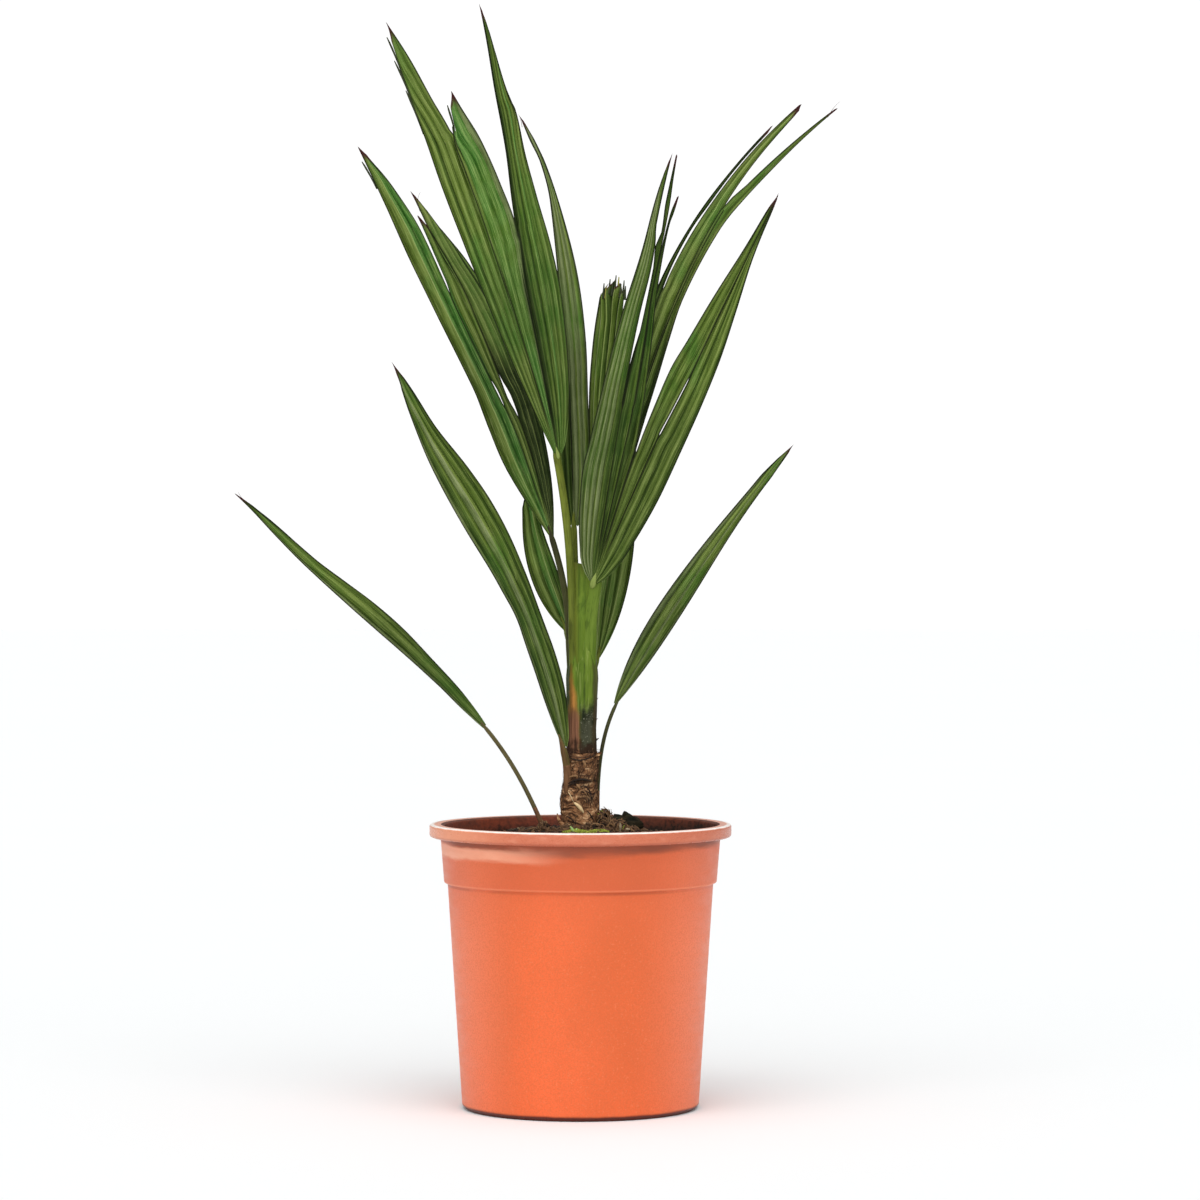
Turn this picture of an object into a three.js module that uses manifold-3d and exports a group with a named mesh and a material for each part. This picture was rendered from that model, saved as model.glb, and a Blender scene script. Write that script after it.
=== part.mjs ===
// A young fan palm in its plastic nursery pot. Millimetres, +Z up.
// The origin is the centre of the pot's flat underside, and the palm is seen from -Y.
import * as THREE from 'three';
import { mergeVertices } from 'three/addons/utils/BufferGeometryUtils.js';
import Module from 'manifold-3d';

const wasm = await Module();
wasm.setup();

const { degToRad, clamp, lerp } = THREE.MathUtils;

// Gap kept between pieces that rest on each other
const SEAT_GAP = 0.3;

// Pot: a thin tapered wall, a wider collar and an overhanging rim
const POT_HEIGHT = 160;
const POT_BASE_RADIUS = 66.7;
const POT_STEP_RADIUS = 74.8;
const POT_STEP_HEIGHT = 126.5;
const POT_STEP_RISE = 1;
const COLLAR_FOOT_RADIUS = 76.8;
const COLLAR_TOP_RADIUS = 78.8;
const RIM_RADIUS = 85;
const RIM_DEPTH = 7.6;
const RIM_EDGE = 0.9;
const POT_WALL = 1.9;
const POT_FLOOR = 2.4;
const POT_CORNER = 2.2;
const POT_SIDES = 48;
const DRAIN_HOLES = 6;
const DRAIN_HOLE_RADIUS = 5;
const DRAIN_CIRCLE_RADIUS = 46;
const DRAIN_HOLE_SIDES = 16;

// Soil: flat round the stem, falling a little towards the wall
const SOIL_TOP = 155.5;
const SOIL_EDGE = 149;
const SOIL_FLAT_RADIUS = 37;
const SOIL_CLEARANCE = 0.5;

// Moss in front of the stem, and a dark chip of bark beside it
const MOSS = { at: [1, -20.5], half: [15, 7.6], height: 4.2, sides: 20 };
const BARK_CHIP = { at: [27.5, -4], half: [6, 5, 4.9], turn: 23 };

// Trunk: the fibrous foot of the palm, then the bundle of green leaf sheaths
const TRUNK_TOP = 201;
const FORK_HEIGHT = 262;
const TRUNK_SIDES = 16;
const TRUNK_STEPS = 16;
const SHEATH_STEPS = 5;
const TRUNK_FOOT_RADIUS = 12;
const TRUNK_WAIST_RADIUS = 9.3;
const SHEATH_RADIUS = 8.2;
const SHEATH_SWELL = 0.5;
const TRUNK_FLARE_HEIGHT = 12;
const TRUNK_LEAN = 0.8;
const FIBRE_RINGS = [170, 181, 191, 199];
const FIBRE_RING_SWELL = 0.8;
const FIBRE_RING_WIDTH = 3.2;
const FIBRE_RING_SKEW = 1.5;

// Blades: ribs that fan out from the heel, folded into ridges and valleys
const LOBE_ROWS = 9;
const HEEL_INSET = 3;
const LOBE_LAP = 0.35;
const TIP_SHARE = 0.06;
const THICKNESS_SHARE = 0.0102;
const NOTCH_SHARE = 0.96;
const STALK_SIDES = 8;
const STALK_STEPS = 9;
const STALK_SINK = 11;
const STALK_PULL = 0.35;
const STALK_END_SHARE = 0.35;

// Each frond: where its stalk starts, the heel where its blade starts, the stalk's radius at
// both, and the blade's lean to the right, tilt to the front and turn about its own middle
// line, in degrees. Its ribs start at an angle left of that line, all sweep sideways towards
// the tip and arch out of the blade's face, and its pleats have a slope.
// Its lobes run from left to right. A lobe has its pleats, the angle it spans at the heel,
// its reach, the angle its tip aims at, how far out each side starts to draw in and how
// strongly, and the share of the reach that each leaflet keeps.
const FRONDS = [
  {
    name: 'frond_left_low',
    foot: [-20.2, -8.5, 156.5], heel: [-51.8, -12, 213.3], rise: [-0.4, 0, 1],
    stalk: [1.5, 1.4], lean: -42, tilt: 14, face: -30,
    start: -2.3, sweep: -2, arch: 5, slope: 0.9,
    lobes: [
      { pleats: 2, span: 20.6, reach: 200, aim: -4, from: [4, 4], power: [1.55, 3.3], teeth: [1, 0.94] },
    ],
  },
  {
    name: 'frond_left_lance',
    foot: [-9.2, -7.8, 184], heel: [-8.6, -11, 201],
    stalk: [1.6, 1.7], lean: -20, tilt: 14, face: -32,
    start: 0, sweep: 15, arch: 2, slope: 0.75,
    lobes: [
      { pleats: 4, span: 23.4, reach: 246, aim: -21, from: [3, 6], power: [0.8, 1],
        teeth: [0.94, 0.97, 1, 0.96] },
    ],
  },
  {
    name: 'frond_left_front',
    foot: [-4.4, -4.6, 262.4], heel: [-12.6, -7, 366.4],
    stalk: [2.1, 2], lean: -12, tilt: 6, face: -22,
    start: -17.2, sweep: -3.4, arch: 6, slope: 0.75,
    lobes: [
      { pleats: 3, span: 12, reach: 259, aim: -7, from: [34, 190], power: [1, 1.24], teeth: [0.9, 0.96, 1] },
      { pleats: 3, span: 7.8, reach: 212, aim: -3, from: [190, 126], power: [1.17, 0.95],
        teeth: [0.93, 1, 0.96] },
      { pleats: 6, span: 22, reach: 255.5, aim: 4.5, from: [130, 36], power: [2.2, 2.7],
        teeth: [1, 0.97, 0.94, 0.9, 0.86, 0.8] },
    ],
  },
  {
    name: 'frond_middle_back',
    foot: [-1.9, 4.6, 262.4], heel: [-3.7, 6, 325.4],
    stalk: [1.7, 1.8], lean: -1, tilt: -4, face: 14,
    start: -6.9, sweep: -2.3, arch: -6, slope: 0.75,
    lobes: [
      { pleats: 3, span: 6.5, reach: 196, aim: -5.9, from: [34, 85], power: [1, 1], teeth: [0.92, 1, 0.95] },
      { pleats: 4, span: 11.2, reach: 240, aim: -5.3, from: [85, 23], power: [0.5, 0.94],
        teeth: [1, 0.97, 0.94, 0.9] },
    ],
  },
  {
    name: 'frond_left_back',
    foot: [-6.5, 2.2, 262.4], heel: [-15.5, 9, 319.2],
    stalk: [1.9, 1.7], lean: -19, tilt: -9, face: -30,
    start: -19.6, sweep: -0.8, arch: -5, slope: 0.7,
    lobes: [
      { pleats: 3, span: 18, reach: 252, aim: -7.2, from: [32, 81], power: [3.5, 3], teeth: [0.95, 1, 0.97] },
      { pleats: 1, span: 7, reach: 212.5, aim: -5.5, from: [80, 74], power: [1.95, 1.24], teeth: [1] },
      { pleats: 4, span: 12.8, reach: 217, aim: -3.5, from: [74, 12], power: [1.5, 1],
        teeth: [1, 0.97, 0.93, 0.88] },
    ],
  },
  {
    name: 'frond_left_short',
    foot: [-5.65, 7.8, 250], heel: [-7.1, 12, 266.6],
    stalk: [1.3, 1.5], lean: -22, tilt: -16, face: -20,
    start: -30, sweep: 0, arch: -4, slope: 0.7,
    lobes: [
      { pleats: 3, span: 59, reach: 92, aim: 7, from: [2, 2], power: [1.34, 3.2], teeth: [0.93, 1, 0.95] },
    ],
  },
  {
    name: 'frond_right_short',
    foot: [6.9, 7.95, 238], heel: [9.3, 12, 250.7],
    stalk: [1.4, 1.6], lean: 12, tilt: -14, face: 25,
    start: -23.6, sweep: 0, arch: -6, slope: 0.7,
    lobes: [
      { pleats: 4, span: 48, reach: 134.5, aim: -3.5, from: [2, 2], power: [1.4, 1.7],
        teeth: [0.94, 1, 0.97, 0.93] },
    ],
  },
  {
    name: 'frond_right_front',
    foot: [5, -5.2, 262.4], heel: [7.1, -12, 294.6],
    stalk: [3.7, 3], lean: 15, tilt: 8, face: 24,
    start: -36, sweep: 1.4, arch: 6, slope: 0.72,
    lobes: [
      { pleats: 5, span: 29.8, reach: 245, aim: -4.7, from: [11, 102], power: [2.44, 0.25],
        teeth: [0.92, 0.94, 0.96, 0.98, 1] },
      { pleats: 2, span: 8.7, reach: 245, aim: -5.1, from: [102, 82], power: [2, 1.7], teeth: [1, 0.93] },
      { pleats: 2, span: 8.9, reach: 230.5, aim: 9.9, from: [76, 93], power: [2, 0.38], teeth: [0.96, 1] },
      { pleats: 4, span: 24.4, reach: 245, aim: 9.2, from: [93, 12], power: [0.3, 2.5],
        teeth: [1, 0.98, 0.95, 0.92] },
    ],
  },
  {
    name: 'frond_right_back',
    foot: [6.3, 6.3, 262.4], heel: [12.7, 12, 316.9],
    stalk: [1.8, 1.8], lean: 11, tilt: -10, face: 30,
    start: -7.2, sweep: 12, arch: -10, slope: 0.7,
    lobes: [
      { pleats: 2, span: 6.2, reach: 259, aim: 1.9, from: [34, 152], power: [1, 0.83], teeth: [1, 0.98] },
      { pleats: 2, span: 3.6, reach: 275, aim: 2.5, from: [152, 206], power: [1.57, 0.53], teeth: [0.98, 1] },
      { pleats: 1, span: 1.2, reach: 280, aim: 6.8, from: [206, 142], power: [1.28, 1.4], teeth: [1] },
    ],
  },
  {
    name: 'frond_spear',
    foot: [3, 1.6, 262.4], heel: [6.5, 2, 316.9],
    stalk: [2.4, 1.9], lean: 4, tilt: -1, face: 35,
    start: -3.5, sweep: 0, arch: 0, slope: 1.4,
    lobes: [
      { pleats: 5, span: 8.9, reach: 151, aim: 0.3, from: [128, 128], power: [0.6, 0.6],
        teeth: [0.94, 0.98, 1, 0.99, 0.95] },
    ],
  },
  {
    name: 'frond_right_low',
    foot: [13, 1.4, 168], heel: [18.3, 7, 224.9],
    stalk: [1.3, 1.3], lean: 32, tilt: -14, face: 35,
    start: -22.5, sweep: 3.7, arch: -4, slope: 0.8,
    lobes: [
      { pleats: 3, span: 37, reach: 187, aim: -1, from: [3, 3], power: [2.3, 2.2], teeth: [0.95, 1, 0.97] },
    ],
  },
];

const MATERIALS = {
  plastic: { color: 0xe0703f, roughness: 0.45, metalness: 0 },
  soil: { color: 0x3a2a1e, roughness: 0.95, metalness: 0 },
  moss: { color: 0x7f8f3a, roughness: 0.95, metalness: 0 },
  bark: { color: 0x5a3a26, roughness: 0.9, metalness: 0 },
  sheath: { color: 0x66862c, roughness: 0.6, metalness: 0 },
  leaf: { color: 0x4b6b2a, roughness: 0.5, metalness: 0 },
};

function toSolid(geometry) {
  const bare = geometry.clone();
  bare.deleteAttribute('normal');
  bare.deleteAttribute('uv');
  const merged = mergeVertices(bare, 1e-4);
  return new wasm.Manifold(new wasm.Mesh({
    numProp: 3,
    vertProperties: new Float32Array(merged.attributes.position.array),
    triVerts: new Uint32Array(merged.index.array),
  }));
}

function toGeometry(solid) {
  const mesh = solid.getMesh();
  const geometry = new THREE.BufferGeometry();
  geometry.setAttribute('position', new THREE.BufferAttribute(mesh.vertProperties, 3));
  geometry.setIndex(new THREE.BufferAttribute(mesh.triVerts, 1));
  geometry.computeVertexNormals();
  return geometry;
}

// A profile of [radius, height] points turned round the upright axis
function turned(points, sides) {
  const geometry = new THREE.LatheGeometry(points.map(([r, z]) => new THREE.Vector2(r, z)), sides);
  geometry.rotateX(Math.PI / 2);
  return geometry;
}

function potInnerRadius(height) {
  if (height < POT_STEP_HEIGHT) {
    return lerp(POT_BASE_RADIUS, POT_STEP_RADIUS, height / POT_STEP_HEIGHT) - POT_WALL;
  }
  const up = (height - POT_STEP_HEIGHT) / (POT_HEIGHT - POT_STEP_HEIGHT);
  return lerp(COLLAR_FOOT_RADIUS, COLLAR_TOP_RADIUS, up) - POT_WALL;
}

function buildPot() {
  const rimFoot = POT_HEIGHT - RIM_DEPTH;
  const innerStep = POT_STEP_HEIGHT + POT_WALL;
  const shell = toSolid(turned([
    [0, 0],
    [POT_BASE_RADIUS - POT_CORNER, 0],
    [POT_BASE_RADIUS, POT_CORNER],
    [POT_STEP_RADIUS, POT_STEP_HEIGHT],
    [COLLAR_FOOT_RADIUS, POT_STEP_HEIGHT + POT_STEP_RISE],
    [COLLAR_TOP_RADIUS, rimFoot],
    [RIM_RADIUS - RIM_EDGE, rimFoot],
    [RIM_RADIUS, rimFoot + RIM_EDGE],
    [RIM_RADIUS, POT_HEIGHT - RIM_EDGE],
    [RIM_RADIUS - RIM_EDGE, POT_HEIGHT],
    [COLLAR_TOP_RADIUS, POT_HEIGHT],
    [potInnerRadius(POT_HEIGHT), POT_HEIGHT - RIM_EDGE],
    [potInnerRadius(innerStep), innerStep + POT_STEP_RISE],
    [POT_STEP_RADIUS - POT_WALL, innerStep],
    [potInnerRadius(POT_FLOOR + POT_CORNER), POT_FLOOR + POT_CORNER],
    [POT_BASE_RADIUS - POT_WALL - POT_CORNER, POT_FLOOR],
    [0, POT_FLOOR],
  ], POT_SIDES));
  let pot = shell;
  for (let i = 0; i < DRAIN_HOLES; i += 1) {
    const turn = (i / DRAIN_HOLES) * 2 * Math.PI;
    const radius = DRAIN_HOLE_RADIUS;
    const hole = new THREE.CylinderGeometry(radius, radius, 4 * POT_FLOOR, DRAIN_HOLE_SIDES);
    hole.rotateX(Math.PI / 2);
    hole.translate(DRAIN_CIRCLE_RADIUS * Math.cos(turn), DRAIN_CIRCLE_RADIUS * Math.sin(turn), 0);
    pot = pot.subtract(toSolid(hole));
  }
  return toGeometry(pot);
}

function buildSoil() {
  const floor = POT_FLOOR + SEAT_GAP;
  const wallAt = (height) => potInnerRadius(height) - SOIL_CLEARANCE;
  const ledge = POT_STEP_HEIGHT + POT_WALL + SOIL_CLEARANCE;
  return turned([
    [0, floor],
    [wallAt(floor) - POT_CORNER, floor],
    [wallAt(floor + POT_CORNER), floor + POT_CORNER + SEAT_GAP],
    [POT_STEP_RADIUS - POT_WALL - SOIL_CLEARANCE, ledge],
    [wallAt(ledge), ledge + POT_STEP_RISE],
    [wallAt(SOIL_EDGE), SOIL_EDGE],
    [SOIL_FLAT_RADIUS, SOIL_TOP],
    [0, SOIL_TOP],
  ], POT_SIDES);
}

function buildMoss() {
  const [halfWidth, halfDepth] = MOSS.half;
  const dome = [[0, 0], [1, 0], [0.94, 0.4], [0.7, 0.78], [0.36, 0.97], [0, 1]];
  const geometry = turned(dome, MOSS.sides);
  geometry.scale(halfWidth, halfDepth, MOSS.height);
  geometry.translate(MOSS.at[0], MOSS.at[1], SOIL_TOP + SEAT_GAP);
  return geometry;
}

function buildBarkChip() {
  const [halfWidth, halfDepth, halfHeight] = BARK_CHIP.half;
  const geometry = new THREE.DodecahedronGeometry(1, 0);
  geometry.rotateZ(degToRad(BARK_CHIP.turn));
  geometry.computeBoundingBox();
  const { max } = geometry.boundingBox;
  geometry.scale(halfWidth / max.x, halfDepth / max.y, halfHeight / max.z);
  geometry.translate(BARK_CHIP.at[0], BARK_CHIP.at[1], SOIL_TOP + SEAT_GAP + halfHeight);
  return geometry;
}

// A closed limb of round rings along a curve, with its radius worked out at each step
function limb(curve, radiusAt, sides, steps) {
  const geometry = new THREE.CylinderGeometry(1, 1, 1, sides, steps);
  geometry.rotateX(Math.PI / 2);
  const position = geometry.attributes.position;
  const spot = new THREE.Vector3();
  for (let i = 0; i < position.count; i += 1) {
    spot.fromBufferAttribute(position, i);
    const along = clamp(spot.z + 0.5, 0, 1);
    const direction = curve.getTangentAt(along);
    const across = new THREE.Vector3(0, 1, 0).cross(direction).normalize();
    const over = direction.clone().cross(across);
    const radius = radiusAt(along, Math.atan2(spot.y, spot.x));
    const at = curve.getPointAt(along);
    at.addScaledVector(across, spot.x * radius).addScaledVector(over, spot.y * radius);
    position.setXYZ(i, at.x, at.y, at.z);
  }
  return geometry;
}

function trunkRadius(height, turn) {
  const foot = SOIL_TOP + SEAT_GAP;
  const flare = Math.exp(-(height - foot) / TRUNK_FLARE_HEIGHT);
  let radius = TRUNK_WAIST_RADIUS + (TRUNK_FOOT_RADIUS - TRUNK_WAIST_RADIUS) * flare;
  for (const ring of FIBRE_RINGS) {
    const skewed = ring + FIBRE_RING_SKEW * Math.sin(turn + ring);
    const away = (height - skewed) / FIBRE_RING_WIDTH;
    radius += FIBRE_RING_SWELL * Math.exp(-away * away);
  }
  return radius;
}

function buildTrunk() {
  const foot = SOIL_TOP + SEAT_GAP;
  const axis = new THREE.LineCurve3(
    new THREE.Vector3(0, 0, foot),
    new THREE.Vector3(TRUNK_LEAN, 0, TRUNK_TOP),
  );
  const radiusAt = (along, turn) => trunkRadius(lerp(foot, TRUNK_TOP, along), turn);
  return limb(axis, radiusAt, TRUNK_SIDES, TRUNK_STEPS);
}

function buildSheath() {
  const foot = TRUNK_TOP + SEAT_GAP;
  const axis = new THREE.LineCurve3(
    new THREE.Vector3(TRUNK_LEAN, 0, foot),
    new THREE.Vector3(TRUNK_LEAN, 0, FORK_HEIGHT),
  );
  const radiusAt = (along) => SHEATH_RADIUS + SHEATH_SWELL * Math.abs(2 * along - 1);
  return limb(axis, radiusAt, TRUNK_SIDES, SHEATH_STEPS);
}

// The blade's own directions: along its middle line, to its right, and out of its face
function bladeFrame({ lean, tilt, face }) {
  const [leanBy, tiltBy, faceBy] = [lean, tilt, face].map(degToRad);
  const along = new THREE.Vector3(
    Math.sin(leanBy) * Math.cos(tiltBy),
    -Math.sin(tiltBy),
    Math.cos(leanBy) * Math.cos(tiltBy),
  );
  const level = new THREE.Vector3(Math.cos(leanBy), 0, -Math.sin(leanBy));
  level.addScaledVector(along, -level.dot(along)).normalize();
  const front = level.clone().cross(along);
  const right = level.clone().multiplyScalar(Math.cos(faceBy)).addScaledVector(front, Math.sin(faceBy));
  return { along, right, out: right.clone().cross(along) };
}

// 1 where a lobe's side still follows its rib, drawn in to almost 0 at the lobe's tip
function openness(distance, from, reach, power) {
  const drawn = clamp((distance - from) / (reach - from), 0, 1);
  return TIP_SHARE + (1 - TIP_SHARE) * (1 - drawn) ** power;
}

function lobeAngle(lobe, leftRib, across, distance) {
  const [fromLeft, fromRight] = lobe.from;
  const [powerLeft, powerRight] = lobe.power;
  const rightRib = leftRib + lobe.span;
  const left = lobe.aim + (leftRib - lobe.aim) * openness(distance, fromLeft, lobe.reach, powerLeft);
  const right = lobe.aim + (rightRib - lobe.aim) * openness(distance, fromRight, lobe.reach, powerRight);
  return lerp(left, right, across);
}

function columnReach(lobe, column) {
  const leaflet = Math.floor(column / 2);
  if (column % 2 === 1) return lobe.reach * lobe.teeth[leaflet];
  const before = lobe.teeth[Math.max(leaflet - 1, 0)];
  const after = lobe.teeth[Math.min(leaflet, lobe.pleats - 1)];
  return lobe.reach * Math.min(before, after) * NOTCH_SHARE;
}

// One lobe as a folded plate: a front and a back sheet joined round their edge
function lobeGeometry(frond, frame, lobe, leftRib, thickness, lap) {
  const columns = 2 * lobe.pleats;
  const heel = new THREE.Vector3(...frond.heel);
  const furthest = Math.max(...frond.lobes.map((each) => each.reach));
  const points = [];
  for (const side of [0.5, -0.5]) {
    for (let row = 0; row <= LOBE_ROWS; row += 1) {
      for (let column = 0; column <= columns; column += 1) {
        const reach = columnReach(lobe, column);
        const distance = lerp(HEEL_INSET, reach, row / LOBE_ROWS);
        const across = column / columns;
        const fused = distance < lobe.from[across < 0.5 ? 0 : 1];
        const edge = across === 0 ? -lap[0] : lap[1] * Math.floor(across);
        const turn = lobeAngle(lobe, leftRib, across, distance) + (fused ? edge : 0)
          + frond.sweep * (distance / furthest) ** 2;
        const half = distance * degToRad(lobeAngle(lobe, leftRib, 1, distance)
          - lobeAngle(lobe, leftRib, 0, distance)) / columns;
        const fold = (column % 2 === 1 ? -0.5 : 0.5) * frond.slope * half;
        const rise = frond.arch * (distance / furthest) ** 2 + fold + side * thickness;
        points.push(heel.clone()
          .addScaledVector(frame.along, distance * Math.cos(degToRad(turn)))
          .addScaledVector(frame.right, distance * Math.sin(degToRad(turn)))
          .addScaledVector(frame.out, rise));
      }
    }
  }
  const back = (LOBE_ROWS + 1) * (columns + 1);
  const at = (row, column) => row * (columns + 1) + column;
  const faces = [];
  const quad = (a, b, c, d) => faces.push(a, b, c, a, c, d);
  for (let row = 0; row < LOBE_ROWS; row += 1) {
    for (let column = 0; column < columns; column += 1) {
      const [a, b] = [at(row, column), at(row, column + 1)];
      const [c, d] = [at(row + 1, column + 1), at(row + 1, column)];
      quad(a, b, c, d);
      quad(back + a, back + d, back + c, back + b);
    }
    const [leftLow, leftHigh] = [at(row, 0), at(row + 1, 0)];
    const [rightLow, rightHigh] = [at(row, columns), at(row + 1, columns)];
    quad(leftLow, leftHigh, back + leftHigh, back + leftLow);
    quad(rightLow, back + rightLow, back + rightHigh, rightHigh);
  }
  for (let column = 0; column < columns; column += 1) {
    const [heelLeft, heelRight] = [at(0, column), at(0, column + 1)];
    const [tipLeft, tipRight] = [at(LOBE_ROWS, column), at(LOBE_ROWS, column + 1)];
    quad(heelLeft, back + heelLeft, back + heelRight, heelRight);
    quad(tipLeft, tipRight, back + tipRight, back + tipLeft);
  }
  const geometry = new THREE.BufferGeometry().setFromPoints(points);
  geometry.setIndex(faces);
  return geometry;
}

function stalkGeometry(frond, frame) {
  const foot = new THREE.Vector3(...frond.foot);
  const end = new THREE.Vector3(...frond.heel).addScaledVector(frame.along, STALK_SINK);
  const pull = STALK_PULL * foot.distanceTo(end);
  const rise = frond.rise ? new THREE.Vector3(...frond.rise).normalize() : new THREE.Vector3(0, 0, 1);
  const curve = new THREE.CubicBezierCurve3(
    foot,
    foot.clone().addScaledVector(rise, pull),
    end.clone().addScaledVector(frame.along, -pull),
    end,
  );
  const [footRadius, heelRadius] = frond.stalk;
  const heelShare = 1 - STALK_SINK / curve.getLength();
  const radiusAt = (along) => {
    if (along < heelShare) return lerp(footRadius, heelRadius, along / heelShare);
    return lerp(heelRadius, STALK_END_SHARE * heelRadius, (along - heelShare) / (1 - heelShare));
  };
  return limb(curve, radiusAt, STALK_SIDES, STALK_STEPS);
}

function buildFrond(frond) {
  const frame = bladeFrame(frond);
  const furthest = Math.max(...frond.lobes.map((lobe) => lobe.reach));
  const thickness = furthest * THICKNESS_SHARE;
  let solid = toSolid(stalkGeometry(frond, frame));
  let leftRib = frond.start;
  frond.lobes.forEach((lobe, index) => {
    const lap = [index > 0 ? LOBE_LAP : 0, index < frond.lobes.length - 1 ? LOBE_LAP : 0];
    solid = solid.add(toSolid(lobeGeometry(frond, frame, lobe, leftRib, thickness, lap)));
    leftRib += lobe.span;
  });
  return toGeometry(solid);
}

function named(name, geometry, look) {
  const mesh = new THREE.Mesh(geometry, new THREE.MeshStandardMaterial(look));
  mesh.name = name;
  return mesh;
}

const palm = new THREE.Group();
palm.add(named('pot', buildPot(), MATERIALS.plastic));
palm.add(named('soil', buildSoil(), MATERIALS.soil));
palm.add(named('moss', buildMoss(), MATERIALS.moss));
palm.add(named('bark_chip', buildBarkChip(), MATERIALS.bark));
palm.add(named('trunk', buildTrunk(), MATERIALS.bark));
palm.add(named('leaf_sheath', buildSheath(), MATERIALS.sheath));
for (const frond of FRONDS) {
  palm.add(named(frond.name, buildFrond(frond), MATERIALS.leaf));
}

export default palm;
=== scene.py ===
"""A young fan palm in its nursery pot: pleated fronds, fibrous trunk, damp soil and plastic pot."""
import math

import bmesh
import bpy
import numpy as np
from bpy.props import FloatProperty, FloatVectorProperty, IntProperty, PointerProperty
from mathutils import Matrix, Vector


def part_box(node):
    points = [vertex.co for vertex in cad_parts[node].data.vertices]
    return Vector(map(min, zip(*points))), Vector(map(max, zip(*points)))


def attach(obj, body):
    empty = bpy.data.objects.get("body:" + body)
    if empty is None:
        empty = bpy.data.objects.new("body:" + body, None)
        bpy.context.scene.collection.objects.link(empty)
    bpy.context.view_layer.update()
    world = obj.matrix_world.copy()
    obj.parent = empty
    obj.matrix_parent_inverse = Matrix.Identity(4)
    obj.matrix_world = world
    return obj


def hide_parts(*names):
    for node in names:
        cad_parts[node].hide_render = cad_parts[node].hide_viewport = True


bl_info = {
    "name": "Potted Fan Palm",
    "version": (1, 0, 0),
    "blender": (4, 5, 0),
    "location": "View3D > Sidebar > Palm",
    "description": "Builds a young fan palm with its pot, soil and studio around the packed frame",
    "category": "Object",
}

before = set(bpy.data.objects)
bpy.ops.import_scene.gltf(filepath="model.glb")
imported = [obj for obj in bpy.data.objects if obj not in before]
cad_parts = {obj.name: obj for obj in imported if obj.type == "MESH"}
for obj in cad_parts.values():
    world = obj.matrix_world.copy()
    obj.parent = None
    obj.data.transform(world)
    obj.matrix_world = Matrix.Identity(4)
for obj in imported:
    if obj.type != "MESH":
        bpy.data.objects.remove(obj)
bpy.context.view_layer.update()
MM = 0.001

# Heights and radii in millimetres, as the solids have them
SOIL_TOP = 155.5
SOIL_EDGE = 149.0
SOIL_FLAT_RADIUS = 37.0
TRUNK_TOP = 201.0
FORK_HEIGHT = 262.0
TRUNK_LEAN = 0.6
FLARE_HEIGHT = 12.0
TRUNK_FOOT_X = 0.2
SOIL_WALL_RADIUS = 76.2
MOSS_X, MOSS_Y = 3.0, -20.5
POT_FLOOR = 2.4
DRAIN_HOLES = 6
DRAIN_RADIUS = 5.0
DRAIN_RING_RADIUS = 46.0

# Blades: ribs that fan out from the heel, folded into ridges and valleys
HALF_PLEAT_STEPS = (0.0, 0.07, 0.26, 0.5, 0.74, 0.93)
HEEL_INSET = 3.0
TIP_SHARE = 0.06
LOBE_LAP = 0.35
TIP_DRAW = 0.13
TIP_WIDTH = 1.4
TIP_NOTCH = 0.996
HAND_OVER = 0.1
LEAF_THICKNESS = 0.34
STALK_SINK = 11.0
STALK_PULL = 0.35
FLANK_BULGE = 0.11
EDGE_START = 32.0


class Lobe:
    """One lobe of a frond: its pleats, spread, reach, sides and the tint of each half pleat."""

    def __init__(self, pleats, span, reach, aim, start, power, teeth, tints, **extra):
        self.pleats = pleats
        self.span = span
        self.reach = reach
        self.aim = aim
        self.start = start
        self.power = power
        self.teeth = teeth
        self.tints = tints
        self.sides = extra.get("sides")
        self.notch = extra.get("notch", 0.985)
        self.splay = extra.get("splay", 0.1)
        self.cut = extra.get("cut", False)


class Frond:
    """One frond: where its stalk and blade start, how the blade stands, and its lobes."""

    def __init__(self, node, foot, heel, stalk, stance, ribs, lobes, stem="Stalk green", **extra):
        self.node = node
        self.foot = np.array(foot, float)
        self.heel = np.array(heel, float)
        self.stalk = stalk
        self.lean, self.tilt, self.face = stance
        self.first_rib, self.sweep, self.arch, self.slope = ribs
        self.lobes = lobes
        self.stem = stem
        self.rise = np.array(extra.get("rise", (0.0, 0.0, 1.0)))
        self.buried = extra.get("buried", 0.0)
        self.rib = extra.get("rib", 0.5)
        self.contrast = extra.get("contrast", 0.6)
        self.tongue = extra.get("tongue", False)
        self.tuck = extra.get("tuck", 0.0)
        self.dry = extra.get("dry", 0.06)
        self.wave = extra.get("wave", 0.8)
        self.furthest = max(lobe.reach for lobe in lobes)


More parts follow.
